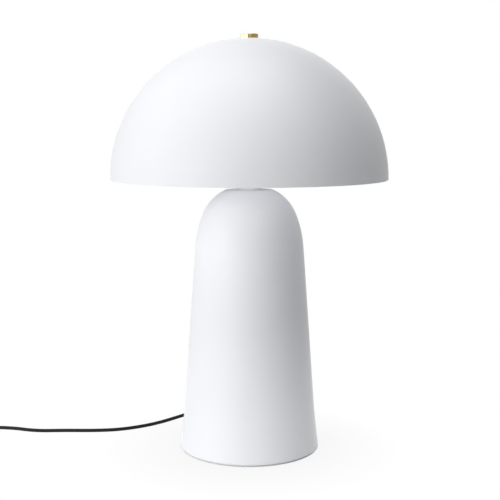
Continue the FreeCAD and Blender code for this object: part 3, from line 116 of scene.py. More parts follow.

# %% [markdown]
# From the base to the switch. The cord leaves the strain relief straight, drops to the table behind the
# base, swings out to the left and runs on to the switch, which holds it a little above the table. Many
# points along the way would look like bent wire. A few control points give the slack, even line of a real
# cord, and they were moved until the line lay where the photograph has it.

# %% Cord from the base to the switch
on_table = 2.1 * mm
exit_height = 10.0 * mm
switch_line = 6.9 * mm
switch_row = 46.0 * mm
run_steps = 12
relief_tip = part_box("cord_bushing")[1].y
cord_exit = (0.0, relief_tip, exit_height)
run_points = [
    cord_exit,
    (0.0, 0.117, exit_height),
    (-0.004, 0.143, on_table),
    (-0.026, 0.162, on_table),
    (-0.052, 0.154, on_table),
    (-0.066, 0.132, on_table),
    (-0.084, 0.109, on_table),
    (-0.107, 0.0822, on_table),
    (-0.129, 0.0650, on_table),
    (-0.155, 0.0525, on_table),
    (-0.184, 0.0492, on_table),
    (-0.216, 0.0502, on_table),
    (-0.250, 0.0480, on_table),
    (-0.280, switch_row, switch_line),
    (-0.307, switch_row, switch_line),
]
cord_to_switch = cord_curve("cord_to_switch", run_points, run_steps)
print("cord to the switch:", len(run_points), "points")

# %% [markdown]
# The coil. Beyond the picture the spare cord is wound into a small round coil. It could be a piece of its
# own, but a real coil is more of the same cord, so its turns are further points for one spline. They come
# from the formula of a spiral that winds in on the table and out again on top of itself, and that climbs
# to the upper layer where it turns back.

# %% Turns of the coil
coil_low = 3.1 * mm
coil_middle = Vector((-0.376, -0.008, coil_low))
coil_radius = 34.0 * mm
coil_pitch = 4.6 * mm
coil_layer = 4.5 * mm
coil_turns = 8
climb_turns = 0.5
points_per_turn = 24


def coil_point(turn):
    inward = min(turn, coil_turns - turn)
    radius = coil_radius - coil_pitch * inward
    climb = min(max((turn - coil_turns / 2 + climb_turns / 2) / climb_turns, 0.0), 1.0)
    angle = math.pi + 2.0 * math.pi * turn
    rise = coil_layer * climb * climb * (3.0 - 2.0 * climb)
    return coil_middle + Vector((radius * math.cos(angle), radius * math.sin(angle), rise))


turn_steps = range(coil_turns * points_per_turn + 1)
turn_points = [coil_point(step / points_per_turn) for step in turn_steps]
print("coil:", coil_turns, "turns,", len(turn_points), "points")

# %% [markdown]
# From the switch to the plug. The cord comes down from the switch, meets the coil at its side, and leaves
# the top layer straight into the plug. Two curves, one before the coil and one after it, would leave
# joints to hide, so the link, the turns and the tail are one list of points.

# %% Cord from the switch to the plug
coil_side = -0.410
coil_top = 7.6 * mm
slope_height = 4.6 * mm
coil_steps = 4
switch_end = (-0.359, switch_row, switch_line)
link_points = [
    switch_end,
    (-0.381, switch_row, switch_line),
    (-0.400, 0.039, slope_height),
    (coil_side, 0.016, coil_low),
]
tail_points = [
    (coil_side, -0.018, coil_top),
    (coil_side, -0.028, coil_top),
]
plug_points = link_points + turn_points + tail_points
cord_to_plug = cord_curve("cord_to_plug", plug_points, coil_steps)
print("cord to the plug:", len(plug_points), "points")

# %% [markdown]
# The lengths. A cord has one real length, and here it should come to the usual 1.8 m of a table lamp. It
# could be worked out from the points, but the spline cuts their corners, so the curves are measured: with
# the bevel off, a curve turns into a chain of short edges, and their lengths are added up.


# %% Cord lengths
def cord_length(cord):
    bevel = cord.data.bevel_depth
    cord.data.bevel_depth = 0.0
    bare_line = cord.evaluated_get(bpy.context.evaluated_depsgraph_get())
    chain = bpy.data.meshes.new_from_object(bare_line)
    cord.data.bevel_depth = bevel
    length = 0.0
    for edge in chain.edges:
        start, end = edge.vertices
        length += (chain.vertices[start].co - chain.vertices[end].co).length
    bpy.data.meshes.remove(chain)
    return length


bpy.context.view_layer.update()
print("cord lengths", round(cord_length(cord_to_switch), 4), round(cord_length(cord_to_plug), 4))

# %% [markdown]
# Helpers for new pieces. No real edge is quite sharp: a narrow rounding catches the light and makes a
# small piece look solid. A Bevel modifier could do it, but the operator rounds only the edges that are
# picked and leaves a plain mesh. The other helper makes a piece of the mesh, hangs it on the body that
# carries it and hides the solid that it stands for.

# %% Helpers for new pieces
sharp_angle = 1.2
edge_segments = 3


def soft_edges(bm, offset):
    sharp = [edge for edge in bm.edges if edge.calc_face_angle(0.0) > sharp_angle]
    bmesh.ops.bevel(
        bm, geom=sharp, offset=offset, affect="EDGES", segments=edge_segments, profile=0.5, material=-1
    )


def keep_piece(name, bm, body, slot, *replaced):
    mesh = bpy.data.meshes.new(name)
    bm.to_mesh(mesh)
    bm.free()
    mesh.shade_smooth()
    piece = bpy.data.objects.new(name, mesh)
    scene.collection.objects.link(piece)
    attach(piece, body)
    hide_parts(*replaced)
    print(name, len(mesh.polygons), "faces")
    return piece


print("edges over", sharp_angle, "radians count as sharp")

# %% [markdown]
# The strap round the coil. A moulded strap, 8 mm wide, keeps the spare cord together. It could be a curve
# with a flat bevel, but a rectangle with rounded corners, drawn out to the strap's width and given a
# wall, has the strap's real thickness and its softened edges.

# %% Strap round the coil
strap_wall = 0.8 * mm
strap_bend = 2.4 * mm
strap_edge = 0.2 * mm
bend_segments = 6
strap_low, strap_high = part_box("coil_tie")
strap_left = strap_low.x + strap_wall / 2
strap_right = strap_high.x - strap_wall / 2
strap_bottom = strap_low.z + strap_wall / 2
strap_top = strap_high.z - strap_wall / 2
bm = bmesh.new()
corners = [
    bm.verts.new((strap_left, strap_low.y, strap_bottom)),
    bm.verts.new((strap_right, strap_low.y, strap_bottom)),
    bm.verts.new((strap_right, strap_low.y, strap_top)),
    bm.verts.new((strap_left, strap_low.y, strap_top)),
]
bm.faces.new(corners)
bmesh.ops.bevel(
    bm, geom=corners, offset=strap_bend, affect="VERTICES", segments=bend_segments, profile=0.5, material=-1
)
bmesh.ops.delete(bm, geom=bm.faces[:], context="FACES_ONLY")
drawn = bmesh.ops.extrude_edge_only(bm, edges=bm.edges[:])["geom"]
far_verts = [item for item in drawn if isinstance(item, bmesh.types.BMVert)]
bmesh.ops.translate(bm, verts=far_verts, vec=(0.0, strap_high.y - strap_low.y, 0.0))
bmesh.ops.recalc_face_normals(bm, faces=bm.faces[:])
bmesh.ops.solidify(bm, geom=bm.faces[:], thickness=strap_wall)
soft_edges(bm, strap_edge)
coil_strap = keep_piece("coil_strap", bm, "stand", "tie_plastic", "coil_tie")

# %% [markdown]
# Spun pieces. Felt ring, strain relief and screw cap are all round, so each could start from a cylinder
# that is cut and pushed into shape. It is simpler to draw half the section once, as a lathe turner does,
# and to spin it round the axis. A full spin can come out inside out, so its seam is welded and its faces
# are turned outwards.

# %% Spin helper
weld_distance = 1e-6


def spin_outline(bm, points, steps):
    """Turn a closed outline of (radius, height) points once round the upright axis."""
    verts = [bm.verts.new((radius, 0.0, height)) for radius, height in points]
    edges = [bm.edges.new((verts[index - 1], verts[index])) for index in range(len(verts))]
    bmesh.ops.spin(
        bm,
        geom=verts + edges,
        cent=(0, 0, 0),
        axis=(0, 0, 1),
        angle=2.0 * math.pi,
        steps=steps,
        use_merge=True,
    )
    bmesh.ops.remove_doubles(bm, verts=bm.verts[:], dist=weld_distance)
    bmesh.ops.recalc_face_normals(bm, faces=bm.faces[:])


print("spun seams are welded within", weld_distance, "m")

# %% [markdown]
# The felt ring under the foot. It is cut from 1 mm felt and glued on, so it has a plain section with
# worn, rounded edges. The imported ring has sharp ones, and its mesh must not be changed, so a new ring is
# spun from the same section and its four edges are rounded.

# %% Felt ring
felt_width = 20.5 * mm
felt_edge = 0.35 * mm
felt_steps = 120
felt_low, felt_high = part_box("foot_pad")
felt_inner = felt_high.x - felt_width
felt_section = [
    (felt_inner, felt_low.z),
    (felt_high.x, felt_low.z),
    (felt_high.x, felt_high.z),
    (felt_inner, felt_high.z),
]
bm = bmesh.new()
spin_outline(bm, felt_section, felt_steps)
soft_edges(bm, felt_edge)
felt_ring = keep_piece("felt_ring", bm, "stand", "felt", "foot_pad")

# %% [markdown]
# The strain relief. It is moulded rubber, which keeps the cord from being bent sharply where it leaves
# the base: a catch inside the wall, a collar outside it and a taper with grooves all round. Rings could
# be joined to a cone, but the half section says it all. Its first points are the catch, the neck that
# sits in the wall, and the collar.

# %% Section of the strain relief
relief_bore = 2.05 * mm
relief_outside = 26.0 * mm
catch_radius = 5.4 * mm
catch_length = 2.0 * mm
wall_neck_radius = 4.0 * mm
collar_radius = 5.2 * mm
collar_length = 2.5 * mm
root_radius = 4.8 * mm
relief_low, relief_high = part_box("cord_bushing")
collar_start = relief_high.y - relief_low.y - relief_outside
taper_start = collar_start + collar_length
relief_section = [
    (relief_bore, 0.0),
    (catch_radius, 0.0),
    (catch_radius, catch_length),
    (wall_neck_radius, catch_length),
    (wall_neck_radius, collar_start),
    (collar_radius, collar_start),
    (collar_radius, taper_start),
    (root_radius, taper_start),
]
print("strain relief:", round(relief_outside / mm, 1), "mm of it outside the base")

# %% [markdown]
# The taper and its grooves. The grooves let the rubber bend. They could be cut out of a plain cone, but
# in a section each is only four more points, at its two edges and on its floor. When the section is
# closed it is spun, its edges are rounded, and the whole is laid down along the cord's way out.

# %% Strain relief
tip_radius = 3.2 * mm
taper_length = relief_outside - collar_length
first_groove = 2.0 * mm
groove_count = 6
groove_pitch = 3.2 * mm
groove_width = 1.3 * mm
groove_depth = 0.75 * mm
relief_edge = 0.15 * mm
relief_steps = 64


def taper_radius(along):
    return root_radius + (tip_radius - root_radius) * along / taper_length


for groove in range(groove_count):
    near = first_groove + groove_pitch * groove
    far = near + groove_width
    relief_section.append((taper_radius(near), taper_start + near))
    relief_section.append((taper_radius(near) - groove_depth, taper_start + near))
    relief_section.append((taper_radius(far) - groove_depth, taper_start + far))
    relief_section.append((taper_radius(far), taper_start + far))
relief_section.append((tip_radius, taper_start + taper_length))
relief_section.append((relief_bore, taper_start + taper_length))
bm = bmesh.new()
spin_outline(bm, relief_section, relief_steps)
soft_edges(bm, relief_edge)
lay_down = Matrix.Rotation(-math.pi / 2.0, 3, "X")
bmesh.ops.rotate(bm, verts=bm.verts[:], cent=(0, 0, 0), matrix=lay_down)
bmesh.ops.translate(bm, verts=bm.verts[:], vec=(0.0, relief_low.y, exit_height))
ribbed_relief = keep_piece("ribbed_relief", bm, "stand", "relief_rubber", "cord_bushing")

# %% [markdown]
# The bulb's screw cap. The cap is rolled from thin sheet, so its thread is a soft wave that climbs 3.6 mm
# each turn and fades out at both ends. A Screw modifier would give a thread with open ends, so the cap is
# first spun as a plain cup, with many rows of points up its outer wall.

# %% Plain bulb cap
cap_wall = 0.5 * mm
toe_height = 1.6 * mm
toe_radius = 11.6 * mm
thread_rows = 84
cap_steps = 96
cap_low, cap_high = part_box("bulb_cap")
cap_radius = cap_high.x
wall_low = cap_low.z + toe_height
wall_step = (cap_high.z - wall_low) / thread_rows
outer_wall = [(cap_radius, wall_low + wall_step * row) for row in range(thread_rows + 1)]
inner_wall = [
    (cap_radius - cap_wall, cap_high.z),
    (cap_radius - cap_wall, wall_low + cap_wall),
    (toe_radius - toe_height, cap_low.z + cap_wall),
    (toe_radius - toe_height, cap_low.z),
]
bm = bmesh.new()
spin_outline(bm, [(toe_radius, cap_low.z)] + outer_wall + inner_wall, cap_steps)
print("plain cap", len(bm.faces), "faces")

# %% [markdown]
# The thread. A factory presses it into the plain cup between two rolls. A height map in the finish could
# suggest it, but the thread shows at the cap's outline, so the points of the outer wall are pressed
# inwards along a wave that climbs as it goes round.

# %% Roll the thread into the cap
thread_pitch = 3.629 * mm
thread_depth = 0.45 * mm
fade_length = 2.5 * mm
wall_margin = 0.1 * mm
for vert in bm.verts:
    reach = math.hypot(vert.co.x, vert.co.y)
    from_end = min(vert.co.z - wall_low, cap_high.z - vert.co.z)
    if reach > cap_radius - wall_margin and from_end > 0.0:
        turn = math.atan2(vert.co.y, vert.co.x) / (2.0 * math.pi)
        wave = 0.5 - 0.5 * math.cos(2.0 * math.pi * ((vert.co.z - wall_low) / thread_pitch - turn))
        pressed = (cap_radius - thread_depth * wave * min(from_end / fade_length, 1.0)) / reach
        vert.co.x *= pressed
        vert.co.y *= pressed
threaded_cap = keep_piece("threaded_cap", bm, "bulb", "bulb_metal", "bulb_cap")

# %% [markdown]
# What the cords are. A real cord can be laid out in any way, but a curve alone doesn't say that it is
# soft. Here both cords are hung on the stand's body, and the plain cord solids that they replace are
# hidden.

for cord in (cord_to_switch, cord_to_plug):
    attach(cord, "stand")
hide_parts("cord_run")
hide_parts("cord_link", "cord_coil", "cord_tail")

# %% [markdown]
# Helpers for shader nodes. A finish is a small graph of nodes, and some of its steps come back in every
# graph. They could be written out each time, but a function for each step keeps the graphs short enough
# to read.


# %% Node helpers
def math_node(tree, operation, first, second):
    node = tree.nodes.new("ShaderNodeMath")
    node.operation = operation
    tree.links.new(first, node.inputs[0])
    tree.links.new(second, node.inputs[1])
    return node.outputs[0]


def distance_node(tree, vector):
    node = tree.nodes.new("ShaderNodeVectorMath")
    node.operation = "LENGTH"
    tree.links.new(vector, node.inputs[0])
    return node.outputs["Value"]


def map_range(tree, value, old_range, new_range):
    node = tree.nodes.new("ShaderNodeMapRange")
    limits = ("From Min", "From Max", "To Min", "To Max")
    for limit, number in zip(limits, (*old_range, *new_range)):
        node.inputs[limit].default_value = number
    tree.links.new(value, node.inputs["Value"])
    return node.outputs["Result"]


def object_place(tree):
    return tree.nodes.new("ShaderNodeTexCoord").outputs["Object"]


print("node helpers ready")

# %% [markdown]
# The white ground. The photograph has a plain white ground. A white floor would turn grey wherever the
# lamps are weak, and more light on it would bleach the lamp, so the ground is an even white for the rays
# that show it: the camera's, those that metal reflects and those that glass lets through. All other rays
# meet the lit floor.


# %% Ground helpers
def ground_share(tree):
    path = tree.nodes.new("ShaderNodeLightPath")
    shown = math_node(tree, "MAXIMUM", path.outputs["Is Camera Ray"], path.outputs["Is Glossy Ray"])
    return math_node(tree, "MAXIMUM", shown, path.outputs["Is Transmission Ray"])


def blend_shaders(tree, share, first, second, output):
    blend = tree.nodes.new("ShaderNodeMixShader")
    tree.links.new(share, blend.inputs[0])
    tree.links.new(first.outputs[0], blend.inputs[1])
    tree.links.new(second.outputs[0], blend.inputs[2])
    tree.links.new(blend.outputs[0], output.inputs["Surface"])


print("ground helpers ready")

# %% [markdown]
# The floor. The lamp stands on a table whose edge never shows. A sheet that curves up behind the lamp
# would do, as in a studio, but the even white hides the place where the floor ends, so one flat face is
# enough.

# %% Floor
floor_half = 30.0
bm = bmesh.new()
bmesh.ops.create_grid(bm, x_segments=1, y_segments=1, size=floor_half)
floor_mesh = bpy.data.meshes.new("floor")
bm.to_mesh(floor_mesh)
bm.free()
floor = bpy.data.objects.new("floor", floor_mesh)
scene.collection.objects.link(floor)
print("floor", 2.0 * floor_half, "m wide")

# %% [markdown]
# The floor's finish. Round the foot the lamp throws a soft shadow, which an even white would hide. The
# shadow could be painted, but it has to follow the shade when that is lifted off, so near the foot a
# tenth of the lit floor is mixed into the white. The lit floor is mid grey, because it also throws light
# back up at the lamp.

# %% Floor finish
bounce_grey = (0.5, 0.5, 0.5, 1.0)
shadow_reach = (0.075, 0.17)
white_share = (0.9, 1.0)
floor_finish = bpy.data.materials.new("white_floor")
floor_finish.use_nodes = True
tree = floor_finish.node_tree
tree.nodes.clear()
output = tree.nodes.new("ShaderNodeOutputMaterial")
lit = tree.nodes.new("ShaderNodeBsdfDiffuse")
lit.inputs["Color"].default_value = bounce_grey
even = tree.nodes.new("ShaderNodeEmission")
even.inputs["Strength"].default_value = 1.0
clearing = map_range(tree, distance_node(tree, object_place(tree)), shadow_reach, white_share)
share = math_node(tree, "MULTIPLY", ground_share(tree), clearing)
blend_shaders(tree, share, lit, even, output)
floor_mesh.materials.append(floor_finish)
print("floor finish", floor_finish.name, "keeps the shadow within", shadow_reach[1], "m")

# %% [markdown]
# The surroundings. A studio is a dim room, so the world gives only a trace of cool fill from all sides,
# and the lamps do the rest. A bright world would be simpler, but it lights every side alike and flattens
# the dome. To the rays that show it, the world is the same plain white as the floor.

# %% Surroundings
fill_colour = (0.93, 0.97, 1.0, 1.0)
fill_strength = 0.02
ground_colour = (1.0, 1.0, 1.0, 1.0)
world = bpy.data.worlds.new("studio")
world.use_nodes = True
scene.world = world
tree = world.node_tree
tree.nodes.clear()
output = tree.nodes.new("ShaderNodeOutputWorld")
fill = tree.nodes.new("ShaderNodeBackground")
fill.inputs["Color"].default_value = fill_colour
fill.inputs["Strength"].default_value = fill_strength
ground = tree.nodes.new("ShaderNodeBackground")
ground.inputs["Color"].default_value = ground_colour
ground.inputs["Strength"].default_value = 1.0
blend_shaders(tree, ground_share(tree), fill, ground, output)
scene.view_settings.view_transform = "Standard"
print("surroundings ready, view transform", scene.view_settings.view_transform)

# %% [markdown]
# The lamps. The light in the photograph comes from the front left and leaves the right of the dome and of
# the base in soft shade. One large softbox could give that, but the strength of several can be set apart:
# a strong one at the front left, one high at the left, a weak one in front and a broad one above. Cool
# ones at the right and behind keep the far sides readable, and are kept out of the reflections.

# %% Studio lamps
white = (1.0, 1.0, 1.0)
cool_white = (0.97, 0.99, 1.0)
lamp_target = Vector((0.0, 0.0, 0.28))


def softbox(name, place, size, power, colour):
    data = bpy.data.lights.new(name, "AREA")
    data.shape = "RECTANGLE"
    data.size, data.size_y = size
    data.energy = power
    data.color = colour
    lamp = bpy.data.objects.new(name, data)
    scene.collection.objects.link(lamp)
    lamp.location = place
    aim = lamp_target - Vector(place)
    lamp.rotation_euler = aim.to_track_quat("-Z", "Y").to_euler()
    return lamp


softbox("key_left", place=(-1.3, -0.5, 0.8), size=(1.1, 0.8), power=7.0, colour=white)
softbox("front_left", place=(-1.5, -1.65, 0.45), size=(1.3, 0.9), power=20.4, colour=white)
softbox("front", place=(0.2, -2.2, 0.6), size=(1.0, 1.0), power=3.2, colour=white)
softbox("top", place=(0.12, -0.25, 1.8), size=(1.2, 1.2), power=16.0, colour=white)
right_light = softbox("right", place=(1.4, 0.1, 0.35), size=(0.4, 0.8), power=0.46, colour=cool_white)
back_light = softbox("back", place=(0.2, 1.7, 1.0), size=(1.0, 1.0), power=12.5, colour=cool_white)
for far_light in (right_light, back_light):
    far_light.visible_glossy = False

# %% [markdown]
# Helping lamps. The left of the brass knob has a wide, bright highlight. A large softbox could give it,
# but it would also wash out the edge of the white dome, so this card lights the knob alone, through light
# linking, and shows only in its reflection. The white table throws light up at the lamp, which a large
# weak lamp lying on it stands for, and a still weaker disc stands for the light that the inside of the
# shade throws down on the base.

# %% Helping lamps
knob_card = softbox("knob_card", place=(-1.0, -0.15, 0.5), size=(2.6, 1.2), power=75.0, colour=white)
knob_card.visible_diffuse = False
knob_only = bpy.data.collections.new("knob_only")
knob_only.objects.link(nodes["knob"])
knob_card.light_linking.receiver_collection = knob_only
table_light = softbox("table_light", place=(0.0, 0.0, 0.003), size=(0.9, 0.9), power=1.5, colour=white)
table_light.rotation_euler = (math.pi, 0.0, 0.0)
shade_light = softbox("shade_light", place=(0.0, 0.0, 0.335), size=(0.27, 0.27), power=0.057, colour=white)
shade_light.data.shape = "DISK"
shade_light.rotation_euler = (0.0, 0.0, 0.0)
print("helping lamps", [lamp.name for lamp in (knob_card, table_light, shade_light)])

# %% [markdown]
# The finishes. No surface has quite one colour and one gloss. Pictures wrapped round a piece could show
# that, but they need a layout for each shape. Noise in Object coordinates needs none, and because every
# piece sits at the origin with its place in its mesh, the grain has the same real size everywhere.

# %% Finish helpers
noise_range = (0.3, 0.7)


def noise(tree, vector, scale, detail):
    grain = tree.nodes.new("ShaderNodeTexNoise")
    grain.inputs["Scale"].default_value = scale
    grain.inputs["Detail"].default_value = detail
    tree.links.new(vector, grain.inputs["Vector"])
    return grain.outputs["Fac"]


def tint(tree, value, *colours):
    ramp = tree.nodes.new("ShaderNodeValToRGB")
    for stop, position, colour in zip(ramp.color_ramp.elements, noise_range, colours):
        stop.position = position
        stop.color = (*colour, 1.0)
    tree.links.new(value, ramp.inputs["Fac"])
    return ramp.outputs["Color"]


def fine_relief(tree, shader, height, depth, strength):
    bump = tree.nodes.new("ShaderNodeBump")
    bump.inputs["Strength"].default_value = strength
    bump.inputs["Distance"].default_value = depth
    tree.links.new(height, bump.inputs["Height"])
    tree.links.new(bump.outputs["Normal"], shader.inputs["Normal"])


print("noise is used between", noise_range)

# %% [markdown]
# A grained finish. Coats, plastics, rubber and felt differ in colour, gloss and grain, but they are made
# alike: broad clouds change the colour a little, and a fine grain changes the roughness and the relief
# together, as it does where a grain is moulded or sprayed. What is the same all over is set on the shader
# itself.

# %% Grained finish
cloud_detail = 3.0
fine_detail = 2.0


def new_finish(name):
    finish = bpy.data.materials.new(name)
    finish.use_nodes = True
    return finish


def shader_of(finish):
    return finish.node_tree.nodes["Principled BSDF"]


def grained(name, dark, light, rough, cloud, grain, depth, strength, metallic=0.0):
    finish = new_finish(name)
    tree = finish.node_tree
    shader = shader_of(finish)
    spot = object_place(tree)
    shader.inputs["Metallic"].default_value = metallic
    clouds = noise(tree, spot, cloud, cloud_detail)
    tree.links.new(tint(tree, clouds, dark, light), shader.inputs["Base Color"])
    fine = noise(tree, spot, grain, fine_detail)
    tree.links.new(map_range(tree, fine, noise_range, rough), shader.inputs["Roughness"])
    fine_relief(tree, shader, fine, depth, strength)
    return finish


print("grained finishes have", cloud_detail, "octaves of cloud and", fine_detail, "of grain")

# %% [markdown]
# Powder coat. The shade and the base are steel with a satin white powder coat. Up close such a coat has a
# faint orange peel, from the way the powder melts, and its gloss varies a little. A plain white would
# look like paper, but more than this would look dirty, so the colour hardly changes and the light does
# the work.

# %% White coat
coat_gloss = 0.15
white_coat = grained(
    "white_coat",
    dark=(0.838, 0.847, 0.872),
    light=(0.868, 0.877, 0.9),
    rough=(0.4, 0.48),
    cloud=9.0,
    grain=700.0,
    depth=0.12 * mm,
    strength=0.12,
)
shader_of(white_coat).inputs["Specular IOR Level"].default_value = coat_gloss
print("finish", white_coat.name)

# %% [markdown]
# Turned metal. The knob is turned brass, so its relief runs in fine rings round the axis. An anisotropic
# shader could hint at them, but here the distance from the axis is worked out from the Object coordinates
# and drives a noise, which gives real rings that catch the light.

# %% Turned metal
metal_clouds = 120.0
ring_depth = 0.04 * mm


def turned_metal(name, dark, light, rough, rings, strength):
    finish = new_finish(name)
    tree = finish.node_tree
    shader = shader_of(finish)
    spot = object_place(tree)
    shader.inputs["Metallic"].default_value = 1.0
    parts = tree.nodes.new("ShaderNodeSeparateXYZ")
    tree.links.new(spot, parts.inputs[0])
    across = tree.nodes.new("ShaderNodeCombineXYZ")
    tree.links.new(parts.outputs["X"], across.inputs["X"])
    tree.links.new(parts.outputs["Y"], across.inputs["Y"])
    ringed = tree.nodes.new("ShaderNodeCombineXYZ")
    tree.links.new(distance_node(tree, across.outputs[0]), ringed.inputs["X"])
    tree.links.new(parts.outputs["Z"], ringed.inputs["Z"])
    ring_noise = noise(tree, ringed.outputs[0], rings, fine_detail)
    clouds = noise(tree, spot, metal_clouds, fine_detail)
    tree.links.new(tint(tree, clouds, dark, light), shader.inputs["Base Color"])
    tree.links.new(map_range(tree, ring_noise, noise_range, rough), shader.inputs["Roughness"])
    fine_relief(tree, shader, ring_noise, ring_depth, strength)
    return finish


brass = turned_metal(
    "brass",
    dark=(0.26, 0.187, 0.066),
    light=(0.32, 0.232, 0.084),
    rough=(0.16, 0.26),
    rings=3000.0,
    strength=0.2,
)
print("finish", brass.name)

# %% [markdown]
# Plated and cast metal. The harp, the screws and the bottom cover are plated steel, the plug's pins and
# the bulb's cap are brighter, and the ballast is rough cast iron. The colours could come from a table of
# metals, but all of them mirror a white room, in which pale metal would vanish, so they are darker here.
# Iron has a dull skin from the mould, so it is only partly metal.

# %% Plated and cast metal
steel = turned_metal(
    "steel",
    dark=(0.27, 0.27, 0.275),
    light=(0.35, 0.35, 0.355),
    rough=(0.28, 0.42),
    rings=2200.0,
    strength=0.2,
)
pin_metal = turned_metal(
    "pin_metal",
    dark=(0.34, 0.34, 0.33),
    light=(0.42, 0.42, 0.41),
    rough=(0.15, 0.25),
    rings=2600.0,
    strength=0.1,
)
bulb_metal = turned_metal(
    "bulb_metal",
    dark=(0.4, 0.4, 0.41),
    light=(0.5, 0.5, 0.51),
    rough=(0.25, 0.36),
    rings=2600.0,
    strength=0.15,
)
iron = grained(
    "iron",
    dark=(0.1, 0.1, 0.1),
    light=(0.2, 0.2, 0.21),
    rough=(0.55, 0.75),
    cloud=60.0,
    grain=500.0,
    depth=0.4 * mm,
    strength=0.5,
    metallic=0.6,
)
print("metals", [finish.name for finish in (steel, pin_metal, bulb_metal, iron)])

# %% [markdown]
# The sleeves on the plug's pins. The half of each pin next to the plug has a thin dark sleeve, so that no
# live metal shows while the plug is pulled out. A sleeve could be a piece of its own, but it lies flush
# on the pin, so the pin's finish changes from plastic to metal at one distance from the plug's face. A
# Mix node has sockets of the same name for every kind of data, so those for colours are picked by number.

# %% Sleeves on the plug's pins
sleeve_length = 10.0 * mm
sleeve_fade = 0.05 * mm
sleeve_colour = (0.024, 0.024, 0.025, 1.0)
share_socket = 0
sleeve_socket = 6
metal_socket = 7
colour_socket = 2
plug_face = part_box("plug_body")[0].y
sleeve_end = plug_face - sleeve_length
tree = pin_metal.node_tree
shader = shader_of(pin_metal)
parts = tree.nodes.new("ShaderNodeSeparateXYZ")
tree.links.new(object_place(tree), parts.inputs[0])
sleeve_edge = (sleeve_end - sleeve_fade, sleeve_end + sleeve_fade)
bare = map_range(tree, parts.outputs["Y"], sleeve_edge, (1.0, 0.0))
tree.links.new(bare, shader.inputs["Metallic"])
two_tone = tree.nodes.new("ShaderNodeMix")
two_tone.data_type = "RGBA"
two_tone.inputs[sleeve_socket].default_value = sleeve_colour
plated = shader.inputs["Base Color"].links[0].from_socket
tree.links.new(plated, two_tone.inputs[metal_socket])
tree.links.new(bare, two_tone.inputs[share_socket])
tree.links.new(two_tone.outputs[colour_socket], shader.inputs["Base Color"])
print("sleeves end at", round(sleeve_end, 4))

# %% [markdown]
# Rubber. The cord's sheath and the strain relief are both soft and nearly black. One finish could serve
# for both, but the sheath is drawn smooth and looks a little brown in the photograph, while the relief is
# moulded and has a coarser grain. The sheath gets less gloss, so that the white room doesn't turn it
# grey.

# %% Rubber
sheath_gloss = 0.15
cord_rubber = grained(
    "cord_rubber",
    dark=(0.014, 0.011, 0.012),
    light=(0.022, 0.018, 0.019),
    rough=(0.5, 0.62),
    cloud=300.0,
    grain=2600.0,
    depth=0.05 * mm,
    strength=0.25,
)
shader_of(cord_rubber).inputs["Specular IOR Level"].default_value = sheath_gloss
relief_rubber = grained(
    "relief_rubber",
    dark=(0.02, 0.02, 0.021),
    light=(0.032, 0.032, 0.033),
    rough=(0.5, 0.62),
    cloud=200.0,
    grain=1800.0,
    depth=0.06 * mm,
    strength=0.3,
)
print("rubber", [finish.name for finish in (cord_rubber, relief_rubber)])

# %% [markdown]
# Dark plastic. The switch, the plug and the strap are moulded in tools with a fine etched grain, which
# hides scratches. The rocker is polished, so that the thumb finds it. A difference in colour alone would
# be lost on black parts, so gloss and grain set the rocker apart.

# %% Dark plastic
dark_plastic = grained(
    "dark_plastic",
    dark=(0.022, 0.022, 0.023),
    light=(0.034, 0.034, 0.035),
    rough=(0.42, 0.55),
    cloud=90.0,
    grain=1500.0,
    depth=0.08 * mm,
    strength=0.3,
)
rocker_plastic = grained(
    "rocker_plastic",
    dark=(0.01, 0.01, 0.01),
    light=(0.014, 0.014, 0.015),
    rough=(0.2, 0.28),
    cloud=90.0,
    grain=900.0,
    depth=0.03 * mm,
    strength=0.1,
)
print("dark plastic", [finish.name for finish in (dark_plastic, rocker_plastic)])

# %% [markdown]
# Pale plastic. The lampholder is moulded in a hard plastic that stands heat, and the bulb's collar in a
# smoother one. Both could be pure white, but that would lose all shape under the lamps, so they are a
# warm off-white, and the holder is a little duller.

# %% Pale plastic
holder_plastic = grained(
    "holder_plastic",
    dark=(0.74, 0.74, 0.72),
    light=(0.8, 0.8, 0.78),
    rough=(0.3, 0.4),
    cloud=60.0,
    grain=1200.0,
    depth=0.06 * mm,
    strength=0.2,
)
pale_plastic = grained(
    "pale_plastic",
    dark=(0.78, 0.78, 0.76),
    light=(0.84, 0.84, 0.82),
    rough=(0.25, 0.34),
    cloud=60.0,
    grain=1000.0,
    depth=0.05 * mm,
    strength=0.15,
)
print("pale plastic", [finish.name for finish in (holder_plastic, pale_plastic)])

# %% [markdown]
# Ceramic, sleeves and fibre. The holder's core is glazed ceramic, its leads have thin blue sleeves, and
# the washers below and above the shade's crown are pressed fibre. They are seldom seen, so plain colours
# might do, but some show with the shade or the knob off: glaze is glossy and even, and fibre is dull and
# speckled.

# %% Ceramic, sleeves and fibre
ceramic = grained(
    "ceramic",
    dark=(0.76, 0.75, 0.71),
    light=(0.84, 0.83, 0.8),
    rough=(0.12, 0.22),
    cloud=70.0,
    grain=400.0,
    depth=0.05 * mm,
    strength=0.1,
)
sleeve = grained(
    "sleeve",
    dark=(0.08, 0.12, 0.25),
    light=(0.12, 0.17, 0.32),
    rough=(0.35, 0.45),
    cloud=200.0,
    grain=2000.0,
    depth=0.04 * mm,
    strength=0.2,
)
fibre = grained(
    "fibre",
    dark=(0.72, 0.68, 0.58),
    light=(0.82, 0.79, 0.7),
    rough=(0.7, 0.85),
    cloud=400.0,
    grain=2500.0,
    depth=0.1 * mm,
    strength=0.4,
)
print("insulation", [finish.name for finish in (ceramic, sleeve, fibre)])

# %% [markdown]
# Inside the bulb. Black glass keeps the bulb's tip contact apart from its cap, and the light comes from a
# board with a pale varnish. The globe over it is opal plastic: light goes in, spreads and comes out
# softened. A clear or a plain white globe would look hollow or chalky, so a share of subsurface
# scattering, alike in all colours, gives its milky depth.

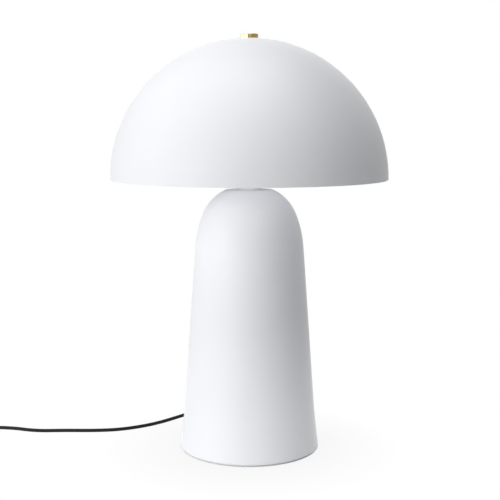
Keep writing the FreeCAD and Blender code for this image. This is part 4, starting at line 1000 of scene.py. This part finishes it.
# %% Bulb finishes
opal_share = 0.3
opal_depth = 4.0 * mm
black_glass = grained(
    "black_glass",
    dark=(0.02, 0.02, 0.025),
    light=(0.035, 0.035, 0.04),
    rough=(0.1, 0.2),
    cloud=150.0,
    grain=900.0,
    depth=0.04 * mm,
    strength=0.1,
)
board = grained(
    "board",
    dark=(0.75, 0.78, 0.74),
    light=(0.84, 0.86, 0.83),
    rough=(0.35, 0.45),
    cloud=150.0,
    grain=1500.0,
    depth=0.05 * mm,
    strength=0.2,
)
opal = grained(
    "opal",
    dark=(0.86, 0.86, 0.84),
    light=(0.9, 0.9, 0.88),
    rough=(0.2, 0.28),
    cloud=40.0,
    grain=500.0,
    depth=0.03 * mm,
    strength=0.1,
)
shader_of(opal).inputs["Subsurface Weight"].default_value = opal_share
shader_of(opal).inputs["Subsurface Radius"].default_value = (1.0, 1.0, 1.0)
shader_of(opal).inputs["Subsurface Scale"].default_value = opal_depth
print("bulb", [finish.name for finish in (black_glass, board, opal)])

# %% [markdown]
# Felt. It is a mat of pressed fibres, nearly black and quite dull, whose loose ends catch a little light
# at grazing angles. Hair could show the fibres, but a ring under a foot needs only a coarse relief and
# some sheen.

# %% Felt
felt_sheen = 0.4
felt = grained(
    "felt",
    dark=(0.02, 0.02, 0.02),
    light=(0.05, 0.05, 0.05),
    rough=(0.85, 0.98),
    cloud=900.0,
    grain=3500.0,
    depth=0.3 * mm,
    strength=0.8,
)
shader_of(felt).inputs["Sheen Weight"].default_value = felt_sheen
print("finish", felt.name)

# %% [markdown]
# The table of finishes. The record names a material slot for every piece, such as steel or felt. Each
# piece could be given its finish by name, but a list of 46 names is easy to get wrong, so one short table
# says which finish fills which slot.

# %% Table of finishes
finishes = {
    "white_coat": white_coat,
    "iron": iron,
    "steel": steel,
    "brass": brass,
    "felt": felt,
    "fibre": fibre,
    "relief_rubber": relief_rubber,
    "cord_rubber": cord_rubber,
    "lead_sleeve": sleeve,
    "holder_plastic": holder_plastic,
    "holder_ceramic": ceramic,
    "bulb_glass": black_glass,
    "bulb_metal": bulb_metal,
    "bulb_plastic": pale_plastic,
    "board": board,
    "opal": opal,
    "switch_plastic": dark_plastic,
    "tie_plastic": dark_plastic,
    "plug_plastic": dark_plastic,
    "pin_metal": pin_metal,
}
print(len(finishes), "slots have a finish")

# %% [markdown]
# Dressing the pieces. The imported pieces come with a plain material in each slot, which could be changed
# into the finish, but pieces share them, so the finish is put in its place. The new pieces take the
# finish of the solids that they stand for, and only the rocker differs from the rest of its slot.

# %% Put the finishes on the pieces
for part in frame["record"]["subparts"]:
    for slot in nodes[part["node"]].material_slots:
        slot.material = finishes[part["material_slot"]]
for slot in nodes["switch_rocker"].material_slots:
    slot.material = rocker_plastic
for piece, finish in (
    (cord_to_switch, cord_rubber),
    (cord_to_plug, cord_rubber),
    (coil_strap, dark_plastic),
    (felt_ring, felt),
    (ribbed_relief, relief_rubber),
    (threaded_cap, bulb_metal),
):
    piece.data.materials.append(finish)
